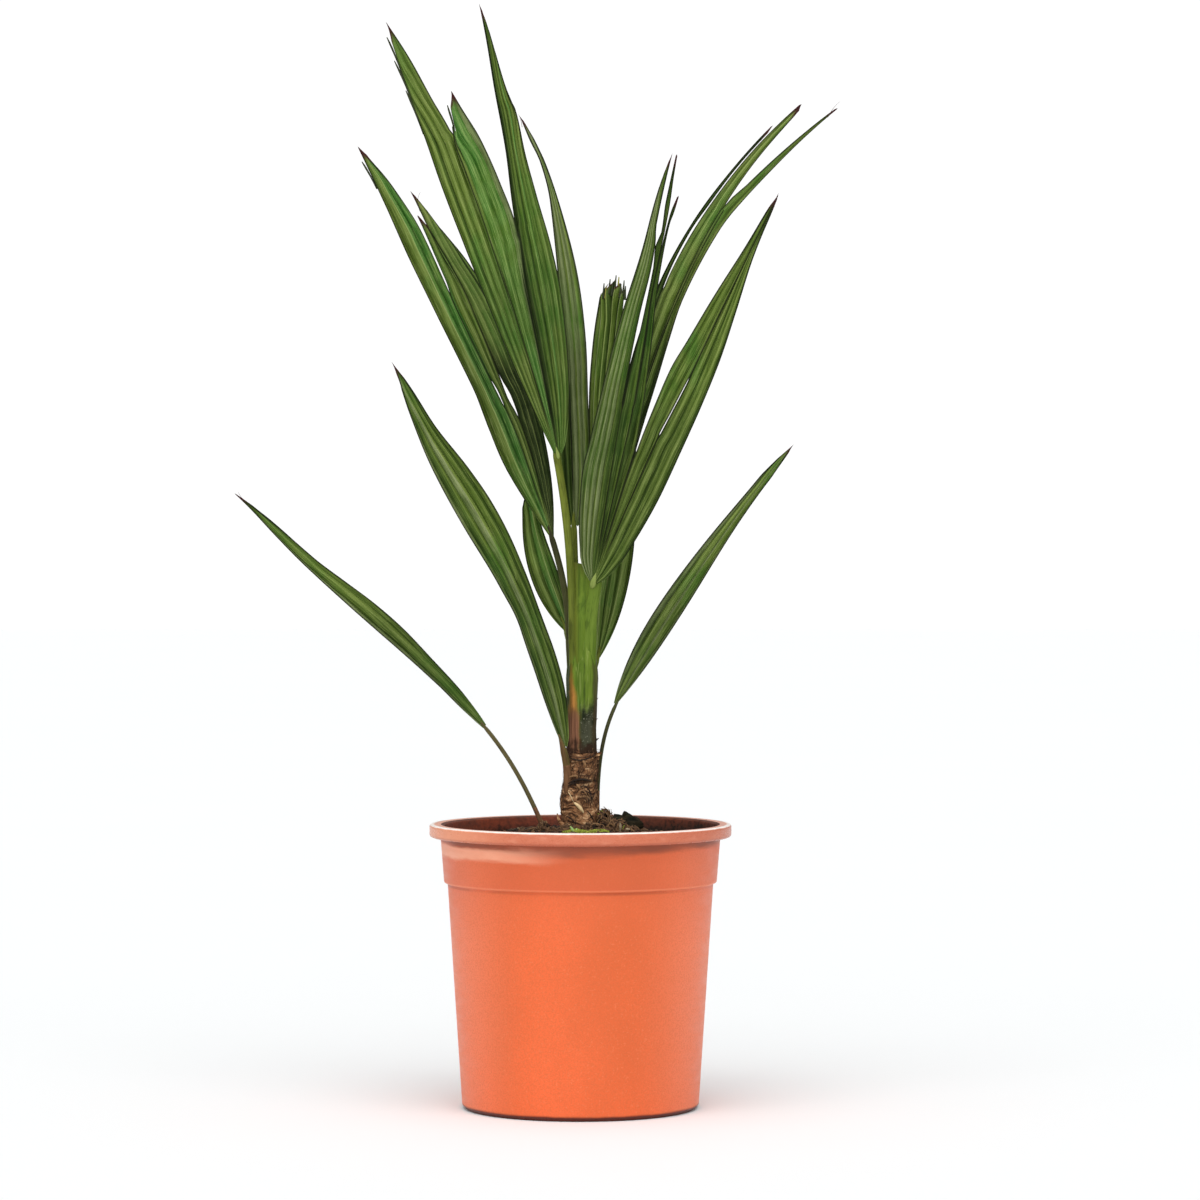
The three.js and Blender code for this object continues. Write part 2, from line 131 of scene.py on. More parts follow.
# Tints of the half pleats: o olive, l light, e emerald, g grey, d deep, s dark towards the heel as painted
# shade, k shaded. Light and deep are lighter and darker copies of the olive, partly their own tone and
# partly painted light and shade where they alternate across pleats
FRONDS = [
    Frond("frond_left_low", (-20.2, -8.5, 156.5), (-51.8, -12, 213.3), (1.3, 1.15), (-42, 14, -30),
          (-2.3, -2, 5, 0.9),
          [Lobe(2, 20.6, 200, -4, (4, 4), (1.55, 3.3), (1, 0.94), "golo", notch=0.95, splay=0.2, sides=(
              ((3, -28), (9, -14), (18, -10), (40, -6.3), (60, -6), (90, -6.1), (141, -5.3), (168, -4.4),
               (188, -3.6),
               (200, -3.3)),
              ((3, 24), (8, 15), (29, 8.2), (51, 4.6), (76, 2.8), (98, 0.8), (118, -1), (141, -2.3),
               (163, -2.6),
               (187, -3), (200, -3.1))))],
          stem="Stalk brown", rise=(-0.4, 0, 1), buried=3, rib=0.4, contrast=0.5, dry=0.07, wave=0.5),
    Frond("frond_left_lance", (-6.9, -5.9, 180), (-8.6, -10.6, 201), (2.3, 2), (-20, 14, -32),
          (-0.8, 15, 2, 0.75),
          [Lobe(4, 25.6, 246, -21, (3, 6), (0.8, 1), (0.94, 0.97, 1, 0.96), "gdoglodo", notch=0.99, sides=(
              ((3, -6), (27, -3), (54, -1.4), (76, -1.4), (103, -4.4), (143, -9.7), (185, -14),
               (215, -16.4),
               (236, -18.1), (246, -19.3)),
              ((3, 48), (16, 30.5), (30, 24.4), (51, 17), (76, 10.6), (105, 5.8), (127, 2.4), (150, -1.6),
               (172, -5.9),
               (200, -11.5), (227, -15.9), (246, -19.2))))],
          stem="Stalk foot", buried=6, rib=0.6, contrast=0.5, dry=0.05, wave=0.4),
    Frond("frond_left_front", (-4.4, -4.6, 262.4), (-12.6, -7, 366.4), (2.4, 2.1), (-12, 6, -22),
          (-17.2, -3.4, 6, 0.75),
          [Lobe(4, 12, 261, -7, (34, 190), (1, 1.24), (0.84, 0.907, 0.958, 1), "oldlolol", notch=0.98,
                sides=(
              ((3, -40), (9, -22), (27, -17.6), (60, -15), (127, -12.2), (167, -10.9), (198, -9.7),
               (238, -8.3), (261, -7.5)),
              ((3, -5.2), (186, -5.1), (214, -6.1), (237, -6.6), (261, -7.3)))),
           Lobe(3, 7.8, 213, -3, (190, 126), (1.17, 0.95), (0.92, 0.96, 1), "leeeeg", notch=0.97, sides=(
              ((3, -5.2), (180, -5.1), (195, -4.3), (205, -3.8), (213, -3)),
              ((3, 2.6), (95, 1.5), (128, 2.3), (156, 0.9), (182, -0.6), (203, -2.2), (213, -2.7)))),
           Lobe(6, 22, 256, 4.5, (130, 36), (2.2, 2.7), (1, 0.985, 0.97, 0.94, 0.89, 0.775),
                "kkdodoeoololo", sides=(
              ((3, 2.6), (95, 1.5), (124, 2.1), (146, 2.7), (174, 3.6), (205, 4), (233, 4.6), (256, 5)),
              ((3, 60), (10, 40), (18, 32), (30, 26), (60, 18.5), (100, 13.5), (119, 11.4), (146, 8.8),
               (171, 7.4),
               (196, 6.8), (201, 6.3), (218, 5.7), (256, 5.2))))],
          buried=16, rib=0.38, contrast=0.45, dry=0.06, tongue=True, tuck=0.7),
    Frond("frond_middle_back", (-1.9, 4.6, 262.4), (-3.7, 6, 325.4), (1.7, 1.8), (-1, -4, 14),
          (-6.9, -2.3, -6, 0.75),
          [Lobe(3, 6.5, 190, -5.9, (34, 85), (1, 1), (0.92, 1, 0.95), "dodkdd", sides=(
              ((3, -30), (14, -23), (28, -17), (50, -12), (85, -7.8), (150, -7), (190, -7)),
              ((3, 0), (85, -1), (150, -4.6), (190, -6.6)))),
           Lobe(4, 11.2, 240, -5.3, (85, 23), (0.5, 0.94), (1, 0.985, 0.95, 0.9), "ggglgglg", sides=(
              ((3, 0), (85, -1.2), (140, -2), (188, -2.1), (211, -2.9), (225, -4), (240, -4.8)),
              ((3, 50), (14, 30), (28, 20), (50, 12), (74, 7.6), (108, 5.1), (139, 3), (174, 0.4),
               (197, -1.2),
               (216, -2.6), (240, -4.6))))],
          buried=16, rib=0.35, contrast=0.4, dry=0.05),
    Frond("frond_left_back", (-6.5, 2.2, 262.4), (-15.5, 9, 319.2), (1.9, 1.7), (-19, -9, -30),
          (-19.6, -0.8, -5, 0.7),
          [Lobe(2, 18, 252, -7.2, (32, 81), (3.5, 3), (1, 0.975), "olee", notch=0.96, splay=0.25, sides=(
              ((3, -21), (46, -17.4), (73, -12.9), (98, -10), (150, -9), (178, -8.7), (215, -7.8),
               (252, -7.2)),
              ((3, 0), (57, -0.2), (104, -2.5), (152, -3.6), (193, -3.9), (224, -5.3), (243, -6.6),
               (252, -7)))),
           Lobe(2, 7, 203, -5.5, (80, 74), (1.95, 1.24), (1, 0.97), "elol", sides=(
              ((3, 0), (57, -0.2), (81, -1), (91, -1.3), (102, -2.6), (125, -3.3), (148, -3.8), (162, -3.3),
               (203, -3.3)),
              ((3, 7), (52, 5.2), (76, 3.3), (87, 1.6), (101, 1.2), (129, 0.6), (154, 0), (184, -1.7),
               (203, -2.8)))),
           Lobe(4, 12.8, 218, -3.5, (74, 12), (1.5, 1), (1, 0.985, 0.94, 0.88), "ssssssks", sides=(
              ((3, 7), (52, 5.2), (76, 3.9), (87, 3.3), (100, 1.4), (129, 0.4), (154, -0.4), (184, -2.1),
               (218, -2.6)),
              ((3, 24), (42, 18.2), (72, 14.3), (99, 10.7), (130, 7.7), (170, 3), (193, -0.1),
               (218, -2.3))))],
          stem="Stalk dark", buried=16, rib=0.8, contrast=0.4, dry=0.06),
    Frond("frond_left_short", (-5.65, 7.8, 250), (-7.1, 12, 266.6), (1.3, 1.5), (-22, -16, -20),
          (-30, 0, -4, 0.7),
          [Lobe(3, 59, 92, 7, (2, 2), (1.34, 3.2), (0.93, 1, 0.95), "oloelo")],
          buried=10, rib=0.7, contrast=0.6, dry=0.04, wave=0.4),
    Frond("frond_right_short", (6.9, 7.95, 238), (9.3, 12, 250.7), (1.4, 1.6), (12, -14, 25),
          (-23.6, 0, -6, 0.7),
          [Lobe(4, 48, 134.5, -3.5, (2, 2), (1.4, 1.7), (0.94, 1, 0.97, 0.93), "lololllo")],
          buried=10, rib=0.8, contrast=0.7, dry=0.04, wave=0.4),
    Frond("frond_right_front", (5, -5.2, 262.4), (7.1, -12, 294.6), (4.3, 3.6), (15, 8, 24),
          (-36, 1.4, 6, 0.72),
          [Lobe(5, 29.8, 245, -4.7, (11, 102), (2.44, 0.25), (0.92, 0.94, 0.96, 0.98, 1), "gogogogodo",
                sides=(
              ((3, -58), (15, -46), (22, -38), (32, -32), (48, -26), (65, -22), (81, -17.8), (112, -13.3),
               (156, -9.6),
               (189, -7.6), (212, -6.9), (245, -5.9)),
              ((3, -6.2), (101, -6.3), (114, -6.2), (154, -5.7), (180, -5.2), (193, -5.3), (205, -5.8),
               (245, -5.7)))),
           Lobe(1, 4.7, 245, -5.1, (102, 82), (2, 1.7), (1,), "do", sides=(
              ((3, -6.2), (101, -5.7), (154, -4.9), (180, -5), (193, -5.4), (201, -4.9), (219, -5.2),
               (245, -5.2)),
              ((3, -1.5), (82, -1.6), (130, -3), (175, -4.2), (214, -4.4), (233, -4.8), (245, -5)))),
           Lobe(1, 4, 223, -3.5, (102, 82), (2, 1.7), (1,), "do", sides=(
              ((3, -1.5), (82, -1.6), (130, -3), (175, -4.2), (211, -4), (223, -3.5)),
              ((3, 2.5), (82, 2.5), (100, 1.2), (130, -1), (175, -3.3), (206, -3.7), (214, -3.4),
               (223, -3.3)))),
           Lobe(2, 8.9, 244, 9.6, (76, 93), (2, 0.5), (0.97, 1), "lool", sides=(
              ((3, 2.5), (84, 3.6), (108, 4.3), (129, 5), (149, 6.5), (173, 7.8), (214, 9.5), (244, 10.2)),
              ((3, 9.6), (88, 9.6), (92, 9.4), (107, 9.95), (127, 10.4), (135, 10.6), (244, 10.4)))),
           Lobe(4, 24.4, 245, 9.4, (93, 12), (0.3, 2.5), (1, 0.985, 0.97, 0.95), "olodolod", sides=(
              ((3, 9.6), (88, 9.6), (92, 9.8), (108, 10.3), (127, 10.6), (135, 10.4), (245, 10.2)),
              ((3, 60), (12, 45), (22, 37.4), (35, 30.3), (64, 23.6), (91, 19.7), (118, 17.3), (148, 15.1),
               (174, 13.2),
               (209, 11.2), (225, 10.7), (245, 10.4))))],
          stem="Stalk bright", buried=16, rib=0.36, contrast=0.6, dry=0.05, tongue=True, tuck=1.0),
    Frond("frond_right_back", (6.3, 6.3, 262.4), (12.7, 12, 316.9), (1.8, 1.8), (11, -10, 30),
          (-7.2, 12, -10, 0.7),
          [Lobe(2, 6.2, 259, 1.9, (34, 152), (1, 0.83), (1, 0.98), "kdkd", sides=(
              ((3, -16), (20, -9), (60, -6.4), (100, -5), (157, -3.1), (191, -1.5), (226, 0.2), (259, 1.4)),
              ((3, -1), (120, -1.4), (156, -1.8), (188, -1), (206, 0), (240, 1.1), (259, 1.7)))),
           Lobe(2, 3.6, 276, 2.5, (152, 206), (1.57, 0.53), (1, 0.985), "slls", sides=(
              ((3, -1), (120, -1.4), (155, -1.3), (173, -0.8), (213, 0.6), (247, 1.5), (276, 2.3)),
              ((3, 3), (120, 2.8), (207, 2.9), (239, 2.9), (276, 2.8)))),
           Lobe(1, 1.2, 281, 6.8, (206, 142), (1.28, 1.4), (1,), "ls", sides=(
              ((3, 3), (120, 2.8), (207, 3.1), (222, 4.3), (257, 6), (281, 6.7)),
              ((3, 26), (30, 14), (60, 9), (100, 6.6), (123, 5.3), (148, 4.3), (192, 4.6), (215, 5.5),
               (238, 6.3),
               (268, 6.8), (281, 6.9))))],
          buried=16, rib=0.6, dry=0.04),
    Frond("frond_spear", (3, 1.6, 262.4), (6.5, 2, 316.9), (2.4, 1.9), (4, -1, 35),
          (-3.5, 0, 0, 1.4),
          [Lobe(5, 8.9, 150, 0.3, (128, 128), (0.6, 0.6), (0.95, 0.985, 1, 0.99, 0.965), "lgoldgogod",
                notch=0.98, splay=0.0, cut=True,
                sides=(((3, -8), (82, -5.8), (113, -4.2), (137, -2.7), (151, -2.2)),
                                              ((3, 8), (82, 6), (128, 4.9), (139, 4.5), (151, 4.1))))],
          buried=16, rib=0.9, contrast=1.3, dry=0.005, wave=0.3),
    Frond("frond_right_low", (9.5, 0.4, 165), (18.3, 7, 224.9), (1.2, 1.05), (32, -14, 35),
          (-21, 3.7, -4, 0.8),
          [Lobe(3, 34, 187, -1, (3, 3), (2.3, 2.2), (0.95, 1, 0.97), "golgog")],
          stem="Stalk dark", buried=6, rib=0.6, dry=0.05, wave=0.5),
]

# Sheath between two stalks: left frond, right frond, lowest point, top at either stalk, dip of its top edge
WEBS = [
    ("frond_left_front", "frond_right_front", 246.0, (308.0, 305.0), 0.6),
    ("frond_left_back", "frond_left_front", 250.0, (277.0, 277.0), 7.0),
    ("frond_right_front", "frond_right_back", 250.0, (286.0, 286.0), 8.0),
    ("frond_middle_back", "frond_right_back", 250.0, (288.0, 288.0), 9.0),
    ("frond_left_back", "frond_middle_back", 250.0, (280.0, 280.0), 8.0),
]

# Loose hairs: frond, lobe, share of its reach, how far the hair bends off and its length
HAIRS = [
    ("frond_left_back", 2, 0.94, 5.0, 11.0),
    ("frond_right_back", 2, 0.975, 2.6, 11.0),
    ("frond_middle_back", 1, 0.97, -1.2, 8.0),
    ("frond_left_low", 0, 0.95, 1.5, 9.0),
]

# Slivers that part from a lobe's side: frond, lobe, side (0 left, 1 right), how far along the blade the
# sliver's point lies, the sliver's length and how far its point stands off
SLIVERS = [
    ("frond_left_front", 0, 0, 253.0, 26.0, 1.5),
    ("frond_left_front", 0, 0, 239.5, 28.0, 1.9),
    ("frond_left_front", 0, 0, 222.0, 26.0, 1.3),
    ("frond_left_front", 1, 0, 206.0, 20.0, 1.4),
    ("frond_left_front", 1, 0, 194.0, 18.0, 1.0),
    ("frond_left_back", 0, 0, 243.0, 18.0, 1.3),
]

TINTS = {
    "o": "Leaf olive",
    "l": "Leaf light",
    "e": "Leaf emerald",
    "g": "Leaf grey",
    "d": "Leaf deep",
    "s": "Leaf dusky",
    "k": "Leaf shaded",
}


def linear(red, green, blue):
    """A colour as a maker reads it off a chart, 0 to 255, as the shader takes it."""
    shares = (value / 255 for value in (red, green, blue))
    return tuple(((v + 0.055) / 1.055) ** 2.4 if v > 10 / 255 else v / 12.92 for v in shares) + (1.0,)


def smoothstep(low, high, value):
    share = np.clip((value - low) / (high - low), 0, 1)
    return share * share * (3 - 2 * share)


class PchipCurve:
    """A smooth curve through a few points that never swings past them."""

    def __init__(self, at, value):
        self.at, self.value = at, value
        step, rise = np.diff(at), np.diff(value) / np.diff(at)
        slope = np.zeros(len(at))
        same = rise[:-1] * rise[1:] > 0
        weight = 2 * step[1:] + step[:-1], step[1:] + 2 * step[:-1]
        with np.errstate(divide="ignore", invalid="ignore"):
            mean = (weight[0] + weight[1]) / (weight[0] / rise[:-1] + weight[1] / rise[1:])
        slope[1:-1] = np.where(same, mean, 0.0)
        slope[0], slope[-1] = rise[0], rise[-1]
        self.slope = slope

    def __call__(self, where):
        where = np.clip(where, self.at[0], self.at[-1])
        k = np.clip(np.searchsorted(self.at, where, side="right") - 1, 0, len(self.at) - 2)
        step = self.at[k + 1] - self.at[k]
        t = (where - self.at[k]) / step
        return ((1 + 2 * t) * (1 - t) ** 2 * self.value[k] + t * (1 - t) ** 2 * step * self.slope[k]
                + t * t * (3 - 2 * t) * self.value[k + 1] + t * t * (t - 1) * step * self.slope[k + 1])


def lumps(points, pitch, seed, octaves=3):
    """Soft seeded noise between about -1 and 1 from waves that cross, for any rows of points."""
    rng = np.random.default_rng(seed)
    total = np.zeros(len(points))
    weight = 0.0
    for octave in range(octaves):
        scale = pitch / 1.9 ** octave
        for _ in range(5):
            way = rng.normal(size=points.shape[1])
            way /= np.linalg.norm(way)
            phase = rng.uniform(0, 2 * np.pi)
            total += np.sin(points @ way * 2 * np.pi / scale + phase) / 2 ** octave
        weight += 5 ** 0.5 / 2 ** octave
    return total / weight


# Node helpers

class Signal:
    """A value, colour or direction that changes over the surface; sums with it make nodes in its tree."""

    def __init__(self, socket):
        self.socket = socket
        self.tree = socket.id_data

    def __add__(self, other):
        return maths("ADD", self, other)

    def __sub__(self, other):
        return maths("SUBTRACT", self, other)

    def __mul__(self, other):
        return maths("MULTIPLY", self, other)


def feed(socket, value):
    """Links a signal to a socket, or sets its value; a colour of three numbers is read off the chart."""
    if isinstance(value, Signal):
        value.tree.links.new(value.socket, socket)
    elif socket.type == "RGBA" and len(value) == 3:
        socket.default_value = linear(*value)
    else:
        socket.default_value = value


def put(tree, kind, **settings):
    node = tree.nodes.new(kind)
    for name, value in settings.items():
        setattr(node, name, value)
    return node


def made(tree, kind, inputs, output=0, **settings):
    """One output of a new node whose inputs are fed."""
    node = put(tree, kind, **settings)
    for name, value in inputs.items():
        feed(node.inputs[name], value)
    return Signal(node.outputs[output])


def maths(operation, first, second=0.0):
    return made(first.tree, "ShaderNodeMath", {0: first, 1: second}, operation=operation)


def blend(share, first, second):
    return made(share.tree, "ShaderNodeMix", {0: share, 6: first, 7: second}, 2, data_type="RGBA")


def ramp(value, low, high, start=0.0, end=1.0):
    inputs = {0: value, 1: low, 2: high, 3: start, 4: end}
    return made(value.tree, "ShaderNodeMapRange", inputs, interpolation_type="SMOOTHSTEP")


def noise(where, scale, detail=3.0, roughness=0.55):
    """Noise at one scale, or drawn out by a scale for each direction."""
    if isinstance(scale, tuple):
        where = made(where.tree, "ShaderNodeMapping", {"Vector": where, "Scale": scale})
        scale = 1.0
    inputs = {"Vector": where, "Scale": scale, "Detail": detail, "Roughness": roughness}
    return made(where.tree, "ShaderNodeTexNoise", inputs, "Fac")


def attribute(tree, name, output="Fac"):
    return made(tree, "ShaderNodeAttribute", {}, output, attribute_name=name)


def place(tree):
    return made(tree, "ShaderNodeTexCoord", {}, "Object")


def axes(where):
    node = put(where.tree, "ShaderNodeSeparateXYZ")
    feed(node.inputs[0], where)
    return [Signal(socket) for socket in node.outputs]


def joined(x, y, z):
    return made(x.tree, "ShaderNodeCombineXYZ", {0: x, 1: y, 2: z})


def coat(shader, colour, roughness, height, strength, distance):
    """Feeds a material's colour and roughness, and its relief, whose distance is in metres."""
    feed(shader.inputs["Base Color"], colour)
    feed(shader.inputs["Roughness"], roughness)
    relief = {"Height": height, "Strength": strength, "Distance": distance}
    feed(shader.inputs["Normal"], made(height.tree, "ShaderNodeBump", relief))


def new_group(name, inputs, outputs):
    """An empty shader group with its named sockets; gives back the tree, its signals and its outputs."""
    tree = bpy.data.node_groups.new(name, "ShaderNodeTree")
    kinds = {"float": "NodeSocketFloat", "colour": "NodeSocketColor", "vector": "NodeSocketVector"}
    for label, kind, value in inputs:
        socket = tree.interface.new_socket(name=label, in_out="INPUT", socket_type=kinds[kind])
        if value is not None:
            socket.default_value = value
    for label, kind in outputs:
        tree.interface.new_socket(name=label, in_out="OUTPUT", socket_type=kinds[kind])
    given = {socket.name: Signal(socket) for socket in put(tree, "NodeGroupInput").outputs if socket.name}
    return tree, given, put(tree, "NodeGroupOutput").inputs


def use_group(tree, name, **values):
    node = put(tree, "ShaderNodeGroup", node_tree=bpy.data.node_groups[name])
    for label, value in values.items():
        feed(node.inputs[label], value)
    return {socket.name: Signal(socket) for socket in node.outputs}


def new_material(name, roughness, specular=0.5):
    material = bpy.data.materials.new(name)
    material.use_nodes = True
    shader = material.node_tree.nodes["Principled BSDF"]
    shader.inputs["Roughness"].default_value = roughness
    shader.inputs["Specular IOR Level"].default_value = specular
    return material.node_tree, shader


# Shader groups that several materials share

def make_grain_group():
    """Fine even grain: a mask and a height from noise at one scale."""
    _, given, out = new_group("Fine grain",
                              [("Vector", "vector", None), ("Scale", "float", 900.0),
                               ("Low", "float", 0.35), ("High", "float", 0.65)],
                               [("Mask", "float"), ("Height", "float")])
    speck = noise(given["Vector"], given["Scale"], 2.0)
    feed(out["Mask"], ramp(speck, given["Low"], given["High"]))
    feed(out["Height"], speck)


def make_streak_group():
    """Streaks along a leaf or stalk: a broad mask, a fine mask and their height."""
    _, given, out = new_group(
        "Lengthwise streaks",
        [("Vector", "vector", None), ("Across", "float", 1.0), ("Along", "float", 1.0)],
        [("Broad", "float"), ("Fine", "float"), ("Height", "float")],
    )
    x, y, z = axes(given["Vector"])
    cut = joined(x * given["Across"], y * given["Along"], z)
    broad = noise(cut, (0.45, 0.012, 1.0))
    fine = noise(cut, (3.4, 0.05, 1.0), 3.0, 0.6)
    feed(out["Broad"], ramp(broad, 0.3, 0.7))
    feed(out["Fine"], ramp(fine, 0.3, 0.7))
    feed(out["Height"], fine)


def make_pleat_group():
    """A leaf's colour from valley to flank to pale rib, with painted shade in the valleys and towards the
    heel, painted light on the ridges, streaks, patches and a dried tip.
    """
    tree, given, out = new_group("Pleated leaf",
                                 [("Flank", "colour", None), ("Bright", "colour", None),
                                  ("Valley", "colour", None), ("Rib", "colour", None),
                                  ("Patch", "colour", None), ("Tip", "colour", None),
                                  ("Edge", "colour", None), ("Dusk", "float", 0.0)],
                                  [("Colour", "colour"), ("Height", "float"), ("Dry", "float"),
                                   ("Margin", "float")])
    streaks = use_group(tree, "Lengthwise streaks", Vector=attribute(tree, "grain", "Vector"))
    pleat = attribute(tree, "pleat")
    crease = attribute(tree, "crease")
    where = place(tree)
    uneven = pleat + (streaks["Broad"] - 0.5) * 0.3
    # Painted light and shade across each pleat: the flank darkens towards the valley and brightens towards
    # the ridge.
    colour = blend(ramp(uneven, 0.1, 0.95), given["Flank"], given["Bright"])
    spread = noise(where, (30.0, 30.0, 13.0), 3.0)
    colour = blend(ramp(spread, 0.46, 0.62, 0.0, 0.75), colour, given["Patch"])
    soft = noise(where, 75.0, 2.0)
    colour = blend(ramp(soft, 0.35, 0.65, 0.0, 0.4), colour, given["Bright"])
    # Painted shade: the valleys darken, more on some pleats than on others.
    dark = ramp(uneven, 0.34, 0.0) * crease
    colour = blend(dark, colour, given["Valley"])
    # Painted shade: darker towards the heel, deep in the crown; each leaf material sets how much.
    heelward = ramp(attribute(tree, "along") + (spread - 0.5) * 0.3, 0.54, 0.38)
    colour = blend(heelward * given["Dusk"], colour, (26, 38, 18))
    lines = ramp(streaks["Fine"], 0.4, 0.9) * 0.55
    colour = blend(lines, colour, given["Valley"])
    pale = ramp(streaks["Fine"], 0.38, 0.0) * 0.4
    colour = blend(pale, colour, given["Rib"])
    ribbed = ramp(pleat, 0.84, 1.0) * crease
    ribbed = ribbed * ramp(streaks["Broad"], 0.0, 0.9, 0.35, 1.0)
    colour = blend(ribbed, colour, given["Rib"])
    grit = noise(where, 1500.0, 2.0)
    colour = blend(ramp(grit, 0.5, 0.75, 0.0, 0.3), colour, given["Valley"])
    edge = attribute(tree, "margin") * 0.95
    colour = blend(edge, colour, given["Edge"])
    dry = attribute(tree, "dry") + (streaks["Fine"] - 0.5) * 0.25
    dry = ramp(dry, 0.2, 0.75)
    colour = blend(dry, colour, given["Tip"])
    feed(out["Colour"], colour)
    feed(out["Height"], streaks["Height"])
    feed(out["Dry"], dry)
    feed(out["Margin"], edge)


# dusk sets how much painted shade darkens the leaf towards its heel.
def leaf_material(name, flank, bright, valley, patch, rib=(150, 164, 96), tip=(66, 34, 34), dusk=0.3):
    tree, shader = new_material(name, 0.45, 0.05)
    leaf = use_group(tree, "Pleated leaf", Flank=flank, Bright=bright, Valley=valley, Rib=rib, Patch=patch,
                     Tip=tip, Edge=(20, 26, 12), Dusk=dusk)
    gloss = ramp(noise(place(tree), 260.0, 2.0), 0.3, 0.7, 0.4, 0.56)
    dull = maths("MAXIMUM", leaf["Dry"], leaf["Margin"]) * 0.35
    coat(shader, leaf["Colour"], gloss + dull, leaf["Height"], 0.4, 0.00025)


def stalk_material(name, main, other, edge, roughness=0.42):
    """A smooth stalk: two greens or browns in streaks, darker in its grooves."""
    tree, shader = new_material(name, roughness, 0.08)
    streaks = use_group(tree, "Lengthwise streaks", Vector=attribute(tree, "grain", "Vector"), Along=2.0)
    colour = blend(streaks["Broad"], main, other)
    colour = blend(ramp(streaks["Fine"], 0.45, 1.0) * 0.5, colour, edge)
    colour = blend(attribute(tree, "margin"), colour, edge)
    coat(shader, colour, ramp(streaks["Fine"], 0.0, 1.0, roughness - 0.06, roughness + 0.1),
         streaks["Height"], 0.4, 0.00025)


def plain_bits(name, colour, roughness, bump_scale=1500.0, strength=0.5):
    """Small joined bits: one placed colour each, with grain in gloss and relief."""
    tree, shader = new_material(name, roughness, 0.3)
    darker, paler = (linear(*(min(255, share * part) for part in colour)) for share in (0.86, 1.12))
    tone = noise(place(tree), 0.25 * bump_scale, 2.0)
    colour = blend(ramp(tone, 0.35, 0.65), darker, paler)
    grain = use_group(tree, "Fine grain", Vector=place(tree), Scale=bump_scale)
    gloss = ramp(grain["Mask"], 0.0, 1.0, roughness - 0.12, min(1.0, roughness + 0.08))
    coat(shader, colour, gloss, grain["Height"], strength, 0.0003)


# Mesh helpers

class Heap:
    """Points and faces that pile up into one mesh, with a slot for each face and fields for each point."""

    def __init__(self, slots):
        self.slots = slots
        self.points = []
        self.faces = []
        self.kinds = []
        self.fields = {}
        self.count = 0

    def add(self, points, faces, kinds, **fields):
        points = np.asarray(points, float).reshape(-1, 3)
        faces = np.asarray(faces, int)
        self.points.append(points)
        self.faces.append(faces + self.count)
        if isinstance(kinds, str):
            kinds = np.full(len(faces), self.slots.index(kinds))
        self.kinds.append(np.asarray(kinds, int))
        for name, values in fields.items():
            self.fields.setdefault(name, []).append(np.asarray(values, float))
        self.count += len(points)

    def join(self, faces, kind):
        """Faces between points that are in the heap already."""
        self.faces.append(faces)
        self.kinds.append(np.full(len(faces), self.slots.index(kind)))

    def close(self, rings, sides, first, last, kinds=(0, 0), flip=False):
        """Closes the ends of a grid of rings, the first thing in the heap, towards two middle points."""
        self.add([first, last], np.zeros((0, 4), int), np.zeros(0, int))
        fans = end_fans(rings, sides)
        self.faces.append(fans[:, ::-1] if flip else fans)
        self.kinds.append(np.repeat(kinds, sides))

    def build(self, name, crease=None):
        points = np.concatenate(self.points) * MM
        faces = [face for block in self.faces for face in block.tolist()]
        mesh = bpy.data.meshes.new(name)
        mesh.from_pydata(points.tolist(), [], faces)
        for slot in self.slots:
            mesh.materials.append(bpy.data.materials[slot])
        mesh.polygons.foreach_set("material_index", np.concatenate(self.kinds).astype(np.int32))
        for label, blocks in self.fields.items():
            values = np.concatenate(blocks)
            kind = "FLOAT_VECTOR" if values.ndim == 2 else "FLOAT"
            layer = mesh.attributes.new(label, kind, "POINT")
            layer.data.foreach_set("vector" if values.ndim == 2 else "value",
                                   values.astype(np.float32).ravel())
        mesh.update()
        mesh.shade_smooth()
        if crease is not None:
            mesh.set_sharp_from_angle(angle=math.radians(crease))
        piece = bpy.data.objects.new(name, mesh)
        bpy.context.scene.collection.objects.link(piece)
        return piece


def seat(piece, slot, *nodes):
    """The finished piece rides on the palm and stands for its solids, which it hides; its slot is not used.
    """
    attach(piece, "root")
    if nodes:
        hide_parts(*nodes)
    return piece


def grid_faces(rows, columns, closed=False, flip=False):
    """Quads over rows of points, each row with columns points, joined round if closed."""
    last = columns if closed else columns - 1
    row, column = np.meshgrid(np.arange(rows - 1), np.arange(last), indexing="ij")
    after = (column + 1) % columns
    quads = np.stack([row * columns + column, row * columns + after, (row + 1) * columns + after,
                      (row + 1) * columns + column], axis=-1).reshape(-1, 4)
    return quads[:, ::-1] if flip else quads


def end_fans(rings, sides):
    """Triangles that close the first and last ring of a grid towards the two middle points after it."""
    ring = np.arange(sides)
    after = (ring + 1) % sides
    middle = np.full(sides, rings * sides)
    last = (rings - 1) * sides
    return np.concatenate([np.stack([middle, after, ring], 1),
                           np.stack([middle + 1, last + ring, last + after], 1)])


def rim_faces(base, rows, columns):
    """Quads that join two sheets of points along their left, right, near and far edges."""
    row = base + np.arange(rows - 1) * columns
    col = base + np.arange(columns - 1)
    far = col + (rows - 1) * columns
    strips = ((row, row + columns), (row + 2 * columns - 1, row + columns - 1), (col + 1, col),
              (far, far + 1))
    size = rows * columns
    return np.concatenate([np.stack([a, b, b + size, a + size], 1) for a, b in strips])


def round_turns(sides):
    """Angles evenly round a ring of points."""
    return np.arange(sides) / sides * 2 * np.pi


def run_along(path):
    """The length of a path up to each of its points."""
    return np.concatenate([[0.0], np.cumsum(np.linalg.norm(np.diff(path, axis=0), axis=1))])


